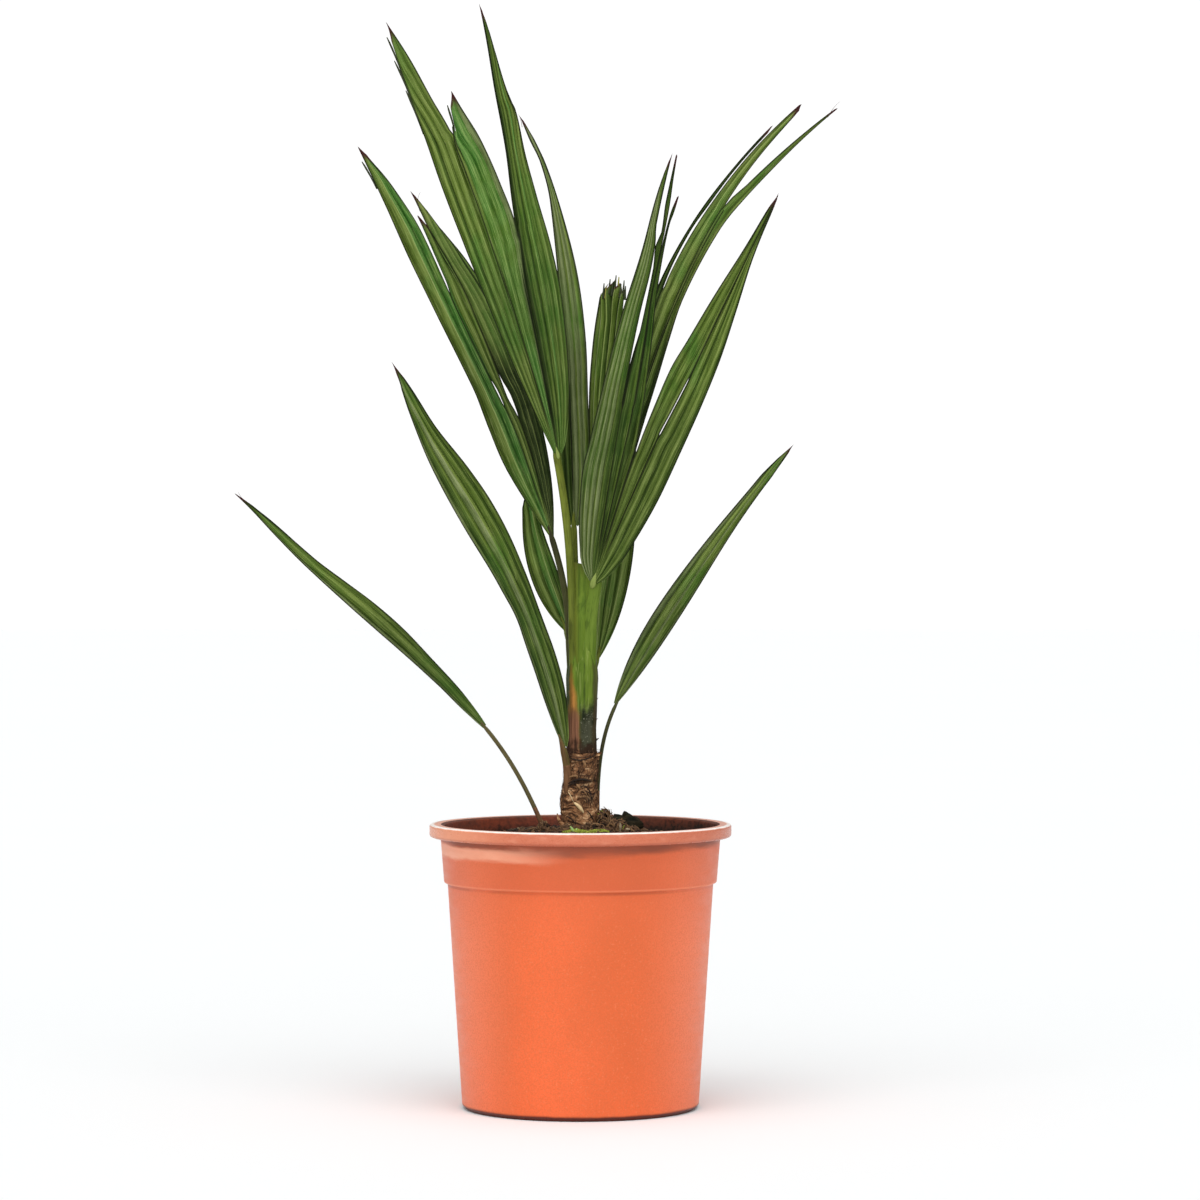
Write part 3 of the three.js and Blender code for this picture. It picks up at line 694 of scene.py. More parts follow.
def tube(path, radii, sides, flat=None, channel=0.0):
    """Points and faces of a closed tube along a path, with a section that may be flattened or grooved."""
    path = np.asarray(path, float)
    radii = np.broadcast_to(np.asarray(radii, float), len(path))
    way = np.gradient(path, axis=0)
    way /= np.linalg.norm(way, axis=1)[:, None]
    side = np.cross((0.0, -1.0, 0.0), way)
    bad = np.linalg.norm(side, axis=1) < 0.2
    side[bad] = np.cross((1.0, 0.0, 0.0), way[bad])
    side /= np.linalg.norm(side, axis=1)[:, None]
    over = np.cross(way, side)
    turn = round_turns(sides)
    reach = 1 - channel * np.exp(-(((turn - np.pi / 2 + np.pi) % (2 * np.pi) - np.pi) / 0.55) ** 2)
    across, up = np.cos(turn) * reach, np.sin(turn) * reach * (flat or 1.0)
    section = across[None, :, None] * side[:, None] + up[None, :, None] * over[:, None]
    rings = path[:, None] + radii[:, None, None] * section
    points = np.concatenate([rings.reshape(-1, 3), path[:1], path[-1:]])
    quads = grid_faces(len(path), sides, closed=True)
    return points, quads, end_fans(len(path), sides)


def pour_tube(heap, path, radii, sides, kind, flat=None, channel=0.0, seed=0.0):
    points, quads, caps = tube(path, radii, sides, flat, channel)
    path = np.asarray(path, float)
    run = run_along(path)
    round_at = round_turns(sides)
    width = float(np.mean(radii))
    grain = np.zeros((len(points), 3))
    grain[:-2, 0] = np.tile(width * np.sin(round_at) + 0.6 * width * np.cos(round_at), len(path))
    grain[:-2, 1] = np.repeat(run, sides)
    grain[-1, 1] = run[-1]
    grain[:, 2] = seed
    fields = {"grain": grain, "margin": np.zeros(len(points))}
    before = heap.count
    heap.add(points, quads, kind, **fields)
    heap.join(caps + before, kind)


def bezier(a, b, c, d, steps):
    t = np.linspace(0, 1, steps)[:, None]
    return (1 - t) ** 3 * a + 3 * (1 - t) ** 2 * t * b + 3 * (1 - t) * t * t * c + t ** 3 * d


def lathe(profile, sides):
    """Rings of a profile of radius and height turned round the upright axis."""
    turn = round_turns(sides)
    profile = np.asarray(profile, float)
    rings = np.zeros((len(profile), sides, 3))
    rings[..., 0] = profile[:, :1] * np.cos(turn)
    rings[..., 1] = profile[:, :1] * np.sin(turn)
    rings[..., 2] = profile[:, 1:]
    return rings


def rounded(corners, size, steps=4):
    """A profile whose inner corners are rounded off by about size."""
    corners = np.asarray(corners, float)
    path = [corners[0]]
    for before, at, after in zip(corners[:-2], corners[1:-1], corners[2:]):
        way_in, way_out = at - before, after - at
        cut = min(size, 0.45 * np.linalg.norm(way_in), 0.45 * np.linalg.norm(way_out))
        start = at - way_in / np.linalg.norm(way_in) * cut
        end = at + way_out / np.linalg.norm(way_out) * cut
        for share in np.linspace(0, 1, steps + 1):
            path.append((1 - share) ** 2 * start + 2 * share * (1 - share) * at + share ** 2 * end)
    path.append(corners[-1])
    return np.array(path)


# Fronds

def blade_frame(frond):
    """The blade's directions: along its middle line, to its right, and out of its face."""
    lean, tilt, face = (math.radians(v) for v in (frond.lean, frond.tilt, frond.face))
    along = np.array([math.sin(lean) * math.cos(tilt), -math.sin(tilt), math.cos(lean) * math.cos(tilt)])
    level = np.array([math.cos(lean), 0.0, -math.sin(lean)])
    level -= along * (level @ along)
    level /= np.linalg.norm(level)
    front = np.cross(level, along)
    right = level * math.cos(face) + front * math.sin(face)
    return along, right, np.cross(right, along)


def openness(distance, start, reach, power):
    """How wide a lobe still is at a distance: 1 until it starts to narrow, a small share at its tip."""
    drawn = np.clip((distance - start) / (reach - start), 0, 1)
    return TIP_SHARE + (1 - TIP_SHARE) * (1 - drawn) ** power


def lobe_side(lobe, rib, side, distance):
    """The angle of a lobe's left or right side: drawn in to its tip, or along the side's own curve."""
    if lobe.sides:
        at, angle = np.array(lobe.sides[side], float).T
        return PchipCurve(at, angle)(distance)
    return lobe.aim + (rib - lobe.aim) * openness(distance, lobe.start[side], lobe.reach, lobe.power[side])


def rib_tips(lobe):
    """How far each rib and each notch between two leaflets reaches."""
    tips = []
    longest = 2 * int(np.argmax(lobe.teeth)) + 1
    for k in range(2 * lobe.pleats + 1):
        if k % 2 == 1:
            tips.append(lobe.reach * lobe.teeth[k // 2])
        else:
            before, after = lobe.teeth[max(k // 2 - 1, 0)], lobe.teeth[min(k // 2, lobe.pleats - 1)]
            notch = TIP_NOTCH if abs(k - longest) == 1 and not lobe.cut else lobe.notch
            tips.append(lobe.reach * (min(before, after) * notch if notch < TIP_NOTCH else notch))
    return np.array(tips)


def rib_shares(lobe, column, tips, distance):
    """How far across the lobe each column lies, and its pleat's width, as ended leaflets hand theirs on."""
    halves = 2 * lobe.pleats
    begin = np.minimum(tips[:-1], tips[1:]) - HAND_OVER * lobe.reach
    end = np.maximum(tips[:-1], tips[1:])
    width = 0.05 + 0.95 * (1 - smoothstep(begin, end, distance[..., None]))
    width /= width.sum(-1, keepdims=True)
    left = np.concatenate([np.zeros(width.shape[:-1] + (1,)), np.cumsum(width, -1)], -1)
    half = np.minimum(np.floor(column).astype(int), halves - 1)
    part = column - half
    index = np.broadcast_to(half, distance.shape)[..., None]
    at = np.take_along_axis(left, index, -1)[..., 0] + part * np.take_along_axis(width, index, -1)[..., 0]
    node = np.concatenate([width[..., :1], (width[..., 1:] + width[..., :-1]) / 2, width[..., -1:]], -1)
    low, high = (np.take_along_axis(node, index + step, -1)[..., 0] for step in (0, 1))
    return at, low + (high - low) * part


def pour_lobe(heap, frond, lobe, first_rib, laps, rows, seed):
    """One lobe as a thin folded sheet, front and back, with its ridges, valleys, margins and tips."""
    rng = np.random.default_rng(seed)
    along, right, out = blade_frame(frond)
    halves = 2 * lobe.pleats
    column = np.concatenate([k + np.array(HALF_PLEAT_STEPS) for k in range(halves)] + [[halves]])
    half_at = np.minimum(np.floor(column).astype(int), halves - 1)
    part = column - half_at
    pleat = np.where(half_at % 2 == 1, part, 1 - part)
    nodes = np.arange(halves + 1)
    tips = rib_tips(lobe)
    reach = np.interp(column, nodes, tips)
    run = np.linspace(0, 1, rows) ** 0.92
    distance = HEEL_INSET + (reach[None] - HEEL_INSET) * run[:, None]
    left = lobe_side(lobe, first_rib, 0, distance) - laps[0] * (distance < lobe.start[0])
    right_side = lobe_side(lobe, first_rib + lobe.span, 1, distance) + laps[1] * (distance < lobe.start[1])
    drawn = np.clip((lobe.reach - distance) / (TIP_DRAW * lobe.reach), 0, 1) ** 0.8
    drawn = np.maximum(drawn, 1.0 if lobe.sides else 0.05)
    least = TIP_WIDTH * (0.3 + 0.7 * np.clip((lobe.reach - distance) / 12, 0, 1))
    middle_line = (left + right_side) / 2
    opened = np.maximum((right_side - left) * drawn, np.degrees(least / distance))
    across, share = rib_shares(lobe, column, tips, distance)
    longest = 2 * int(np.argmax(lobe.teeth)) + 1
    splay = np.sign(column - longest) * np.clip(np.abs(column - longest) - 1, 0, 1)
    splay = splay[None] * lobe.splay * smoothstep(0.86, 1, distance / reach[None])
    far = distance / frond.furthest
    turn = np.radians(middle_line + opened * (across - 0.5) + splay + frond.sweep * far ** 2)
    half = distance * np.radians(opened) * share
    depth = np.interp(column, nodes, rng.uniform(0.45, 1.25, halves + 1))[None]
    fold = frond.slope * half * (pleat[None] - 0.5) * depth
    fold += FLANK_BULGE * half * np.sin(np.pi * part)[None]
    phase = rng.uniform(0, 2 * np.pi)
    wave = frond.wave * np.sin(far * 7 + phase) * far
    fold += wave + 0.35 * frond.wave * np.sin(far * 17 + 2 * phase) * far
    rise = frond.arch * far ** 2 + fold
    way = np.cos(turn)[..., None] * along + np.sin(turn)[..., None] * right
    middle = frond.heel + distance[..., None] * way + rise[..., None] * out
    thin = LEAF_THICKNESS * (1 - 0.55 * run[:, None, None]) / 2
    columns = len(column)
    front = (middle + out * thin).reshape(-1, 3)
    back = (middle - out * thin).reshape(-1, 3)
    grain = np.zeros((rows, columns, 3))
    grain[..., 0] = (column[None] * 2.6) + seed * 7.3
    grain[..., 1] = distance
    grain[..., 2] = seed % 97
    edge = distance * np.radians(opened) * np.minimum(across, 1 - across)
    margin = (1 - smoothstep(0.35, 1.15, edge)) * smoothstep(10, 30, distance)
    dry = np.clip(1 - (1 - distance / reach[None]) / frond.dry, 0, 1)
    dry = dry * smoothstep(0.93, 0.975, distance / lobe.reach)
    # How strongly each rib line shows, as painted valley shade or as a pale rib, on the front and on the
    # back.
    strong, faint = rng.beta(1.0, 1.3, (2, halves + 1))
    ridged = np.where(nodes % 2 == 0, strong * frond.rib * 1.3, 0.15 + faint * frond.contrast * 1.3)
    folded = np.where(nodes % 2 == 1, strong * frond.rib * 1.3, 0.15 + faint * frond.contrast * 1.3)
    fields = {
        "grain": grain.reshape(-1, 3),
        "margin": margin.ravel(),
        "dry": dry.ravel(),
        "along": far.ravel(),
    }
    quads = grid_faces(rows, columns)
    strip = np.tile(half_at[:-1], rows - 1)
    kinds = np.array([heap.slots.index(TINTS[letter]) for letter in lobe.tints])[strip]
    heap.add(front, quads, kinds, pleat=np.tile(pleat, rows),
             crease=np.tile(np.interp(column, nodes, ridged), rows), **fields)
    heap.add(back, quads[:, ::-1], kinds, pleat=np.tile(1 - pleat, rows),
             crease=np.tile(np.interp(column, nodes, folded), rows), **fields)
    rim = rim_faces(heap.count - 2 * rows * columns, rows, columns)
    border = np.full(len(rim), heap.slots.index("Leaf edge"))
    near = np.concatenate([distance[:-1, 0], distance[:-1, -1]]) < EDGE_START
    border[:len(near)][near] = kinds[0]
    border[len(near):len(near) + columns - 1] = kinds[:columns - 1]
    heap.faces.append(rim)
    heap.kinds.append(border)


def stalk_path(frond, steps=34):
    along, _, out = blade_frame(frond)
    end = frond.heel + along * STALK_SINK - out * frond.tuck * frond.stalk[1]
    rise = frond.rise / np.linalg.norm(frond.rise)
    pull = STALK_PULL * np.linalg.norm(end - frond.foot)
    path = bezier(frond.foot, frond.foot + rise * pull, end - along * pull, end, steps)
    if frond.buried:
        down = np.linspace(1, 0, 6)[:-1, None]
        inward = np.array([TRUNK_LEAN - frond.foot[0], -frond.foot[1], 0.0])
        inward *= 0.12 if frond.foot[2] > FORK_HEIGHT else 0.3
        if frond.node == "frond_left_low":
            inward *= 0
        path = np.concatenate([frond.foot + down * (inward - rise * frond.buried), path])
    return path


class FrondSettings(bpy.types.PropertyGroup):
    rows: IntProperty(name="Rows", description="Rows of points along each blade",
                      default=58, min=12, max=200)
    seed: IntProperty(name="Seed", description="Seed of the blades' small unevenness", default=11, min=0)
    thread_radius: FloatProperty(name="Thread", description="Radius of the loose threads at the tips",
                                 default=0.16 * MM, min=0.0, unit="LENGTH")
    bristles: IntProperty(name="Bristles", description="Bristles on the spear's cut top",
                          default=9, min=0, max=60)


class StageSettings(bpy.types.PropertyGroup):
    floor_size: FloatProperty(name="Floor", description="Side of the floor", default=24.0, min=1.0,
                              unit="LENGTH")
    key_strength: FloatProperty(name="Key light", description="Strength of the soft key light",
                                default=1.0, min=0.0)
    front_strength: FloatProperty(name="Front light",
                                  description="Strength of the low light from the front",
                                  default=1.9, min=0.0)
    sky_strength: FloatProperty(name="Room light", description="Strength of the even room light",
                                default=0.45, min=0.0)
    camera_reach: FloatProperty(name="Camera distance",
                                description="Distance from the camera to the pot's axis", default=2.6,
                                min=0.5, unit="LENGTH")
    lens: FloatProperty(name="Lens", description="Focal length of the camera", default=138.585 * MM,
                        min=0.01, unit="CAMERA")


class PotSettings(bpy.types.PropertyGroup):
    height: FloatProperty(name="Height", description="Height of the pot", default=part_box("pot")[1].z,
                          unit="LENGTH")
    rim_radius: FloatProperty(name="Rim radius", description="Outer radius of the rim",
                              default=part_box("pot")[1].x, unit="LENGTH")
    sides: IntProperty(name="Sides", description="Points round the pot", default=192, min=24)
    body: FloatVectorProperty(name="Body", description="Colour of the plastic", subtype="COLOR", size=4,
                              default=linear(233, 105, 56), min=0.0, max=1.0)


# Clumps of root and fibre on the soil: middle and half sizes
MOUNDS = [
    ((13.2, -3.0, 155.0), (5.6, 7.5, 12.0)),
    ((20.5, -7.0, 155.0), (6.5, 6.0, 8.0)),
    ((29.0, -8.5, 154.6), (6.0, 4.5, 4.0)),
    ((7.0, -11.5, 155.0), (7.5, 4.2, 5.6)),
    ((-6.0, -11.5, 155.0), (7.0, 4.0, 4.4)),
    ((-20.4, -9.2, 155.0), (3.6, 3.2, 6.4)),
    ((-26.0, -10.0, 154.8), (5.0, 3.6, 3.2)),
    ((-14.5, -10.5, 154.8), (4.5, 3.4, 3.0)),
]


class SoilSettings(bpy.types.PropertyGroup):
    crumbs: IntProperty(name="Crumbs", description="Loose crumbs on the soil", default=2600, min=0)
    fibres: IntProperty(name="Fibres", description="Peat fibres on the soil", default=420, min=0)
    mound: IntProperty(name="Mound", description="Roots and fibres piled against the stem",
                       default=160, min=0)
    tufts: IntProperty(name="Moss tufts", description="Tufts in the patch of moss", default=1500, min=0)
    seed: IntProperty(name="Seed", description="Seed of the scatter", default=5, min=0)


class TrunkSettings(bpy.types.PropertyGroup):
    foot_radius: FloatProperty(name="Foot radius", description="Radius of the trunk at the soil",
                               default=10.2 * MM, min=0.002, unit="LENGTH")
    waist_radius: FloatProperty(name="Waist radius", description="Radius of the trunk above its flare",
                                default=8.1 * MM, min=0.002, unit="LENGTH")
    strands: IntProperty(name="Strands", description="Fibres wound round the trunk", default=620, min=0)
    seed: IntProperty(name="Seed", description="Seed of the fibres", default=23, min=0)


def make_leaf_materials():
    # The light and deep leaves are lighter and darker copies of the olive, partly painted light and shade
    # on the flanks; the shaded leaf is painted shade, and the dusky leaf is painted shade towards its heel.
    leaf_material("Leaf olive", (72, 94, 30), (98, 118, 50), (38, 54, 15), (62, 104, 34))
    leaf_material("Leaf light", (94, 115, 44), (124, 142, 72), (56, 76, 22), (68, 118, 44),
                  rib=(160, 172, 108))
    leaf_material("Leaf emerald", (58, 112, 38), (104, 144, 72), (34, 66, 16), (90, 116, 42),
                  rib=(170, 188, 116))
    leaf_material("Leaf grey", (96, 114, 60), (134, 146, 98), (50, 64, 28), (84, 112, 48),
                  rib=(164, 172, 122))
    leaf_material("Leaf deep", (50, 70, 22), (76, 98, 38), (28, 42, 12), (44, 80, 26), rib=(120, 136, 74))
    leaf_material("Leaf dusky", (102, 120, 54), (130, 144, 78), (52, 68, 24), (74, 112, 44), dusk=0.95)
    leaf_material("Leaf shaded", (32, 48, 16), (52, 70, 26), (16, 26, 9), (38, 56, 20), rib=(96, 108, 58))
    plain_bits("Leaf edge", (18, 24, 10), 0.9, 1500.0, 0.2)
    stalk_material("Stalk green", (82, 92, 28), (108, 118, 44), (42, 46, 16))
    stalk_material("Stalk foot", (96, 92, 46), (108, 82, 54), (50, 38, 24))
    stalk_material("Stalk bright", (80, 104, 28), (104, 126, 46), (52, 70, 20))
    stalk_material("Stalk brown", (84, 78, 48), (104, 96, 62), (44, 34, 24))
    stalk_material("Stalk dark", (54, 54, 30), (76, 78, 44), (28, 24, 16))
    stalk_material("Stalk husk", (98, 68, 46), (134, 98, 68), (46, 31, 22), roughness=0.7)
    stalk_material("Heel pale", (122, 138, 68), (142, 154, 84), (80, 98, 38))
    plain_bits("Loose thread", (74, 58, 46), 0.7)
    plain_bits("Bristle pale", (138, 134, 58), 0.7)
    plain_bits("Bristle dark", (44, 52, 24), 0.7)


def pour_stalk(heap, frond, number):
    path = stalk_path(frond)
    run = run_along(path)
    heel_run = run[-1] - STALK_SINK
    foot_radius, heel_radius = frond.stalk
    radii = np.interp(run, [0, frond.buried, heel_run, run[-1]],
                      [foot_radius, foot_radius, heel_radius, 0.2 * heel_radius])
    pour_tube(heap, path, radii, 18, frond.stem, flat=0.86, channel=0.22, seed=number * 3.1)
    if frond.foot[2] < 200:
        low = path[:, 2] < frond.foot[2] + 14
        pour_tube(heap, path[low], radii[low] * np.linspace(1.16, 1.02, low.sum()), 18, "Stalk husk",
                  flat=0.86, channel=0.22, seed=number * 3.1)


def pour_tongue(heap, frond, number):
    """The pale pointed tongue where the blade springs from its stalk."""
    along, _, out = blade_frame(frond)
    radius = frond.stalk[1]
    steps = np.linspace(0, 1, 12)
    path = frond.heel + along * (steps[:, None] * (1.5 * radius + 4.0) - 0.6 * radius)
    path = path + out * (0.3 + 0.12 * radius * np.sin(np.pi * steps[:, None] ** 0.7))
    width = 0.42 * radius * np.sin(np.pi * steps ** 0.6) + 0.1
    pour_tube(heap, path, width, 12, "Heel pale", flat=0.35, seed=number)


def build_threads(settings):
    """Dry hairs that stand off a few tips, and the bristles on the closed spear's cut top."""
    rng = np.random.default_rng(settings.seed)
    heap = Heap(["Loose thread", "Bristle pale", "Bristle dark"])
    radius = settings.thread_radius / MM
    fronds = {frond.node: frond for frond in FRONDS}
    for node, lobe_number, share, bend, length in HAIRS:
        frond = fronds[node]
        start, way, off = tip_at(frond, frond.lobes[lobe_number], share)
        path = bezier(start, start + way * length * 0.4, start + way * length * 0.75 + off * bend * 0.3,
                      start + way * length + off * bend, 9)
        pour_tube(heap, path, np.linspace(radius, 0.35 * radius, 9), 6, "Loose thread")
    for node, lobe_number, side, point, length, off in SLIVERS:
        pour_sliver(heap, fronds[node], fronds[node].lobes[lobe_number], side, point, length, off)
    spear = fronds["frond_spear"]
    along, right, out = blade_frame(spear)
    lobe = spear.lobes[0]
    for number, turn in enumerate(np.radians(np.linspace(-1.6, 4.6, settings.bristles))):
        way = math.cos(turn) * along + math.sin(turn) * right
        foot = spear.heel + way * (lobe.reach * 0.945 + rng.uniform(-3, 0)) + out * rng.uniform(0, 0.7)
        tall = rng.uniform(8, 12.5) - 0.5 * abs(number - 4)
        lean = right * rng.uniform(-0.02, 0.05)
        path = bezier(foot, foot + along * tall * 0.3, foot + (along + lean) * tall * 0.7,
                      foot + (along + lean) * tall, 8)
        kind = "Bristle pale" if number % 4 == 1 else "Bristle dark"
        pour_tube(heap, path, np.linspace(0.85, 0.3, 8), 7, kind, flat=0.6)
    seat(heap.build("loose_threads"), "frond")


def pour_sliver(heap, frond, lobe, side, point, length, off):
    """The narrow point of an outer leaflet that ends short of its lobe's tip."""
    along, right, out = blade_frame(frond)
    distance = point - length + length * np.linspace(0, 1, 9)
    inset = (off * np.linspace(0, 1, 9) ** 2.2 - 0.2) * (1 if side else -1)
    far = distance / frond.furthest
    turn = np.radians(lobe_side(lobe, 0, side, distance) + frond.sweep * far ** 2)
    turn += inset / distance
    path = frond.heel + distance[:, None] * (np.cos(turn)[:, None] * along + np.sin(turn)[:, None] * right)
    path = path + (frond.arch * far ** 2)[:, None] * out
    pour_tube(heap, path, np.linspace(0.36, 0.66, 9) * np.array([1, 1, 1, 1, 1, 1, 1, 0.8, 0.4]), 8,
              "Bristle dark")


def tip_at(frond, lobe, share):
    """A point near a lobe's tip, the way the lobe runs there, and its right."""
    along, right, out = blade_frame(frond)
    distance = share * lobe.reach
    middle = lobe.aim if not lobe.sides else (lobe.sides[0][-1][1] + lobe.sides[1][-1][1]) / 2
    far = distance / frond.furthest
    turn = math.radians(middle + frond.sweep * far ** 2)
    way = math.cos(turn) * along + math.sin(turn) * right
    start = frond.heel + distance * way + out * frond.arch * far ** 2
    return start, way, math.cos(turn) * right - math.sin(turn) * along


class PALM_OT_fronds(bpy.types.Operator):
    """Builds the eleven fronds with their pleated blades, stalks, heels and loose threads"""
    bl_idname = "palm.fronds"
    bl_label = "Build the fronds"

    def execute(self, context):
        settings = context.scene.palm_fronds
        make_leaf_materials()
        for number, frond in enumerate(FRONDS):
            heap = Heap(list(TINTS.values()) + ["Leaf edge"])
            rib = frond.first_rib
            for index, lobe in enumerate(frond.lobes):
                laps = (LOBE_LAP if index > 0 else 0, LOBE_LAP if index < len(frond.lobes) - 1 else 0)
                pour_lobe(heap, frond, lobe, rib, laps, settings.rows, settings.seed + 13 * number + index)
                rib += lobe.span
            blade = heap.build(frond.node.replace("frond", "blade"), crease=70)
            seat(blade, "frond", frond.node)
            stems = Heap(["Stalk green", "Stalk foot", "Stalk bright", "Stalk brown", "Stalk dark",
                          "Stalk husk", "Heel pale"])
            pour_stalk(stems, frond, number)
            if frond.tongue:
                pour_tongue(stems, frond, number)
            seat(stems.build(frond.node.replace("frond", "stalk")), "frond")
        build_threads(settings)
        return {"FINISHED"}


# Pot

def pot_profile(settings):
    """The pot's outline, from its underside up the outside and over the rim, and then down the inside."""
    top = settings.height / MM
    rim = settings.rim_radius / MM
    outside = [(44, 0.0), (64.5, 0.0), (66.7, 2.2), (74.8, 126.5), (76.8, 127.5), (78.8, top - 7.1),
               (rim - 0.9, top - 7.1), (rim, top - 6.2), (rim, top - 0.9), (rim - 0.9, top), (78.8, top)]
    inside = [(76.9, top - 0.9), (74.9, 128.9), (72.9, 128.4), (64.9, 4.6), (62.8, POT_FLOOR),
              (44, POT_FLOOR)]
    return outside, inside


def make_pot_materials(settings):
    tree, shader = new_material("Pot plastic", 0.4, 0.28)
    where = place(tree)
    x, _, height = axes(where)
    speck = use_group(tree, "Fine grain", Vector=where, Scale=1150.0, Low=0.4, High=0.68)
    cloud = noise(where, (16.0, 16.0, 10.0), 3.0)
    colour = blend(ramp(cloud, 0.34, 0.66), tuple(settings.body), (216, 98, 50))
    middle = x * x
    # Painted reflection: the plastic turns paler and rosier towards the pot's left and right sides.
    painted_side_sheen = ramp(middle + cloud * 0.0012, 0.0012, 0.0048, 0.0, 0.8)
    colour = blend(painted_side_sheen, colour, (240, 128, 89))
    colour = blend(speck["Mask"] * 0.4, colour, (196, 95, 51))
    pale = use_group(tree, "Fine grain", Vector=where, Scale=800.0, Low=0.55, High=0.76)
    colour = blend(pale["Mask"] * 0.4, colour, (230, 129, 84))
    # Streaky noise that moves the edges of the painted shade under the rim and of the painted sheen below
    # it.
    streaky_noise = noise(where, (20.0, 20.0, 110.0), 4.0, 0.6)
    level = height + (streaky_noise - 0.5) * 0.008
    colour = blend(ramp(height, 0.09, 0.126, 0.0, 0.35), colour, (210, 98, 58))
    collar = ramp(height, 0.1265, 0.1285) * ramp(middle, 0.001, 0.0036, 0.42, 0.2)
    colour = blend(collar, colour, (192, 88, 54))
    shade = ramp(level - maths("ABSOLUTE", x) * 0.065, 0.1432, 0.148)
    colour = blend(shade * ramp(streaky_noise, 0.3, 0.62, 0.7, 0.92), colour, (134, 70, 48))
    sheen = ramp(level, 0.1412, 0.1448) * ramp(level, 0.1508, 0.148)
    sheen = sheen * ramp(x, 0.0, -0.055, 0.0, 1.0)
    colour = blend(sheen * ramp(streaky_noise, 0.3, 0.65, 0.6, 0.86), colour, (248, 178, 146))
    # Painted highlight: a pale line along the top edge of the step.
    step = ramp(height, 0.1266, 0.1271) * ramp(height, 0.1284, 0.1276)
    colour = blend(step * 0.4, colour, (242, 148, 108))
    # Painted shade: a darker line just under the step.
    shade_under_step = ramp(height, 0.1246, 0.1258) * ramp(height, 0.127, 0.1264)
    colour = blend(shade_under_step * ramp(cloud, 0.35, 0.65, 0.1, 0.5), colour, (150, 66, 38))
    # Painted shadow: a dark maroon band at the pot's foot where it meets the floor; the same noise also
    # varies the gloss.
    scuff_and_shadow_noise = noise(where, (60.0, 60.0, 240.0), 4.0)
    painted_foot_shadow = ramp(height + scuff_and_shadow_noise * 0.0012, 0.0024, 0.0042, 1.0, 0.0)
    colour = blend(painted_foot_shadow * 0.94, colour, (70, 22, 16))
    coat(shader, colour, ramp(scuff_and_shadow_noise, 0.2, 0.8, 0.34, 0.5), speck["Height"], 0.3, 0.00016)

    tree, shader = new_material("Pot rim", 0.3, 0.35)
    where = place(tree)
    x, y, height = axes(where)
    radius = maths("SQRT", x * x + y * y)
    speck = use_group(tree, "Fine grain", Vector=where, Scale=1300.0, Low=0.4, High=0.75)
    colour = blend(speck["Mask"] * 0.45, (200, 112, 82), (184, 92, 62))
    # Pale patches, partly wear and partly painted light; the same noise also roughens the edges of the
    # painted light and shade on the rim.
    wear_and_light_noise = noise(where, (130.0, 130.0, 300.0), 4.0)
    colour = blend(ramp(wear_and_light_noise, 0.5, 0.8, 0.0, 0.5), colour, (222, 146, 118))
    # Painted light: the rim turns paler towards its left.
    colour = blend(ramp(x, -0.03, -0.075, 0.0, 0.6), colour, (242, 164, 126))
    # Painted light: the rim's top is paler, and its rounded outer edge is a near-white painted highlight.
    lip = ramp(height + wear_and_light_noise * 0.0006, 0.1594, 0.1601)
    colour = blend(lip * 0.7, colour, (236, 172, 146))
    painted_edge_highlight = lip * ramp(radius, 0.0818, 0.0832)
    colour = blend(painted_edge_highlight, colour, (255, 246, 238))
    # Painted shade: darker along the lower edge of the rim face.
    under = ramp(height + wear_and_light_noise * 0.0005, 0.1552, 0.1538)
    colour = blend(under * 0.45, colour, (170, 86, 60))
    coat(shader, colour, ramp(wear_and_light_noise, 0.2, 0.8, 0.22, 0.38), speck["Height"], 0.2, 0.00012)

    tree, shader = new_material("Pot inside", 0.6, 0.25)
    where = place(tree)
    streaky_noise = noise(where, (42.0, 42.0, 60.0), 5.0, 0.66)
    x, _, height = axes(where)
    # Dirt and painted shade: the inside wall darkens towards the soil and towards the right.
    level = height + (streaky_noise - 0.5) * 0.02
    level = level - x * 0.05
    dirt_and_shade = ramp(level, 0.149, 0.159, 1.0, 0.05)
    grit = use_group(tree, "Fine grain", Vector=where, Scale=520.0, Low=0.42, High=0.66)
    colour = blend(ramp(streaky_noise, 0.35, 0.65), (146, 66, 40), (108, 56, 38))
    colour = blend(dirt_and_shade, colour, (50, 36, 29))
    colour = blend(grit["Mask"] * ramp(dirt_and_shade, 0.0, 1.0, 0.3, 0.9), colour, (34, 26, 20))
    # Painted shade with some dirt: darker at the inner top edge of the rim.
    lip = ramp(height, 0.1588, 0.1598)
    colour = blend(lip * 0.7, colour, (70, 44, 30))
    coat(shader, colour, ramp(dirt_and_shade, 0.0, 1.0, 0.5, 0.9), grit["Height"], 0.5, 0.0005)


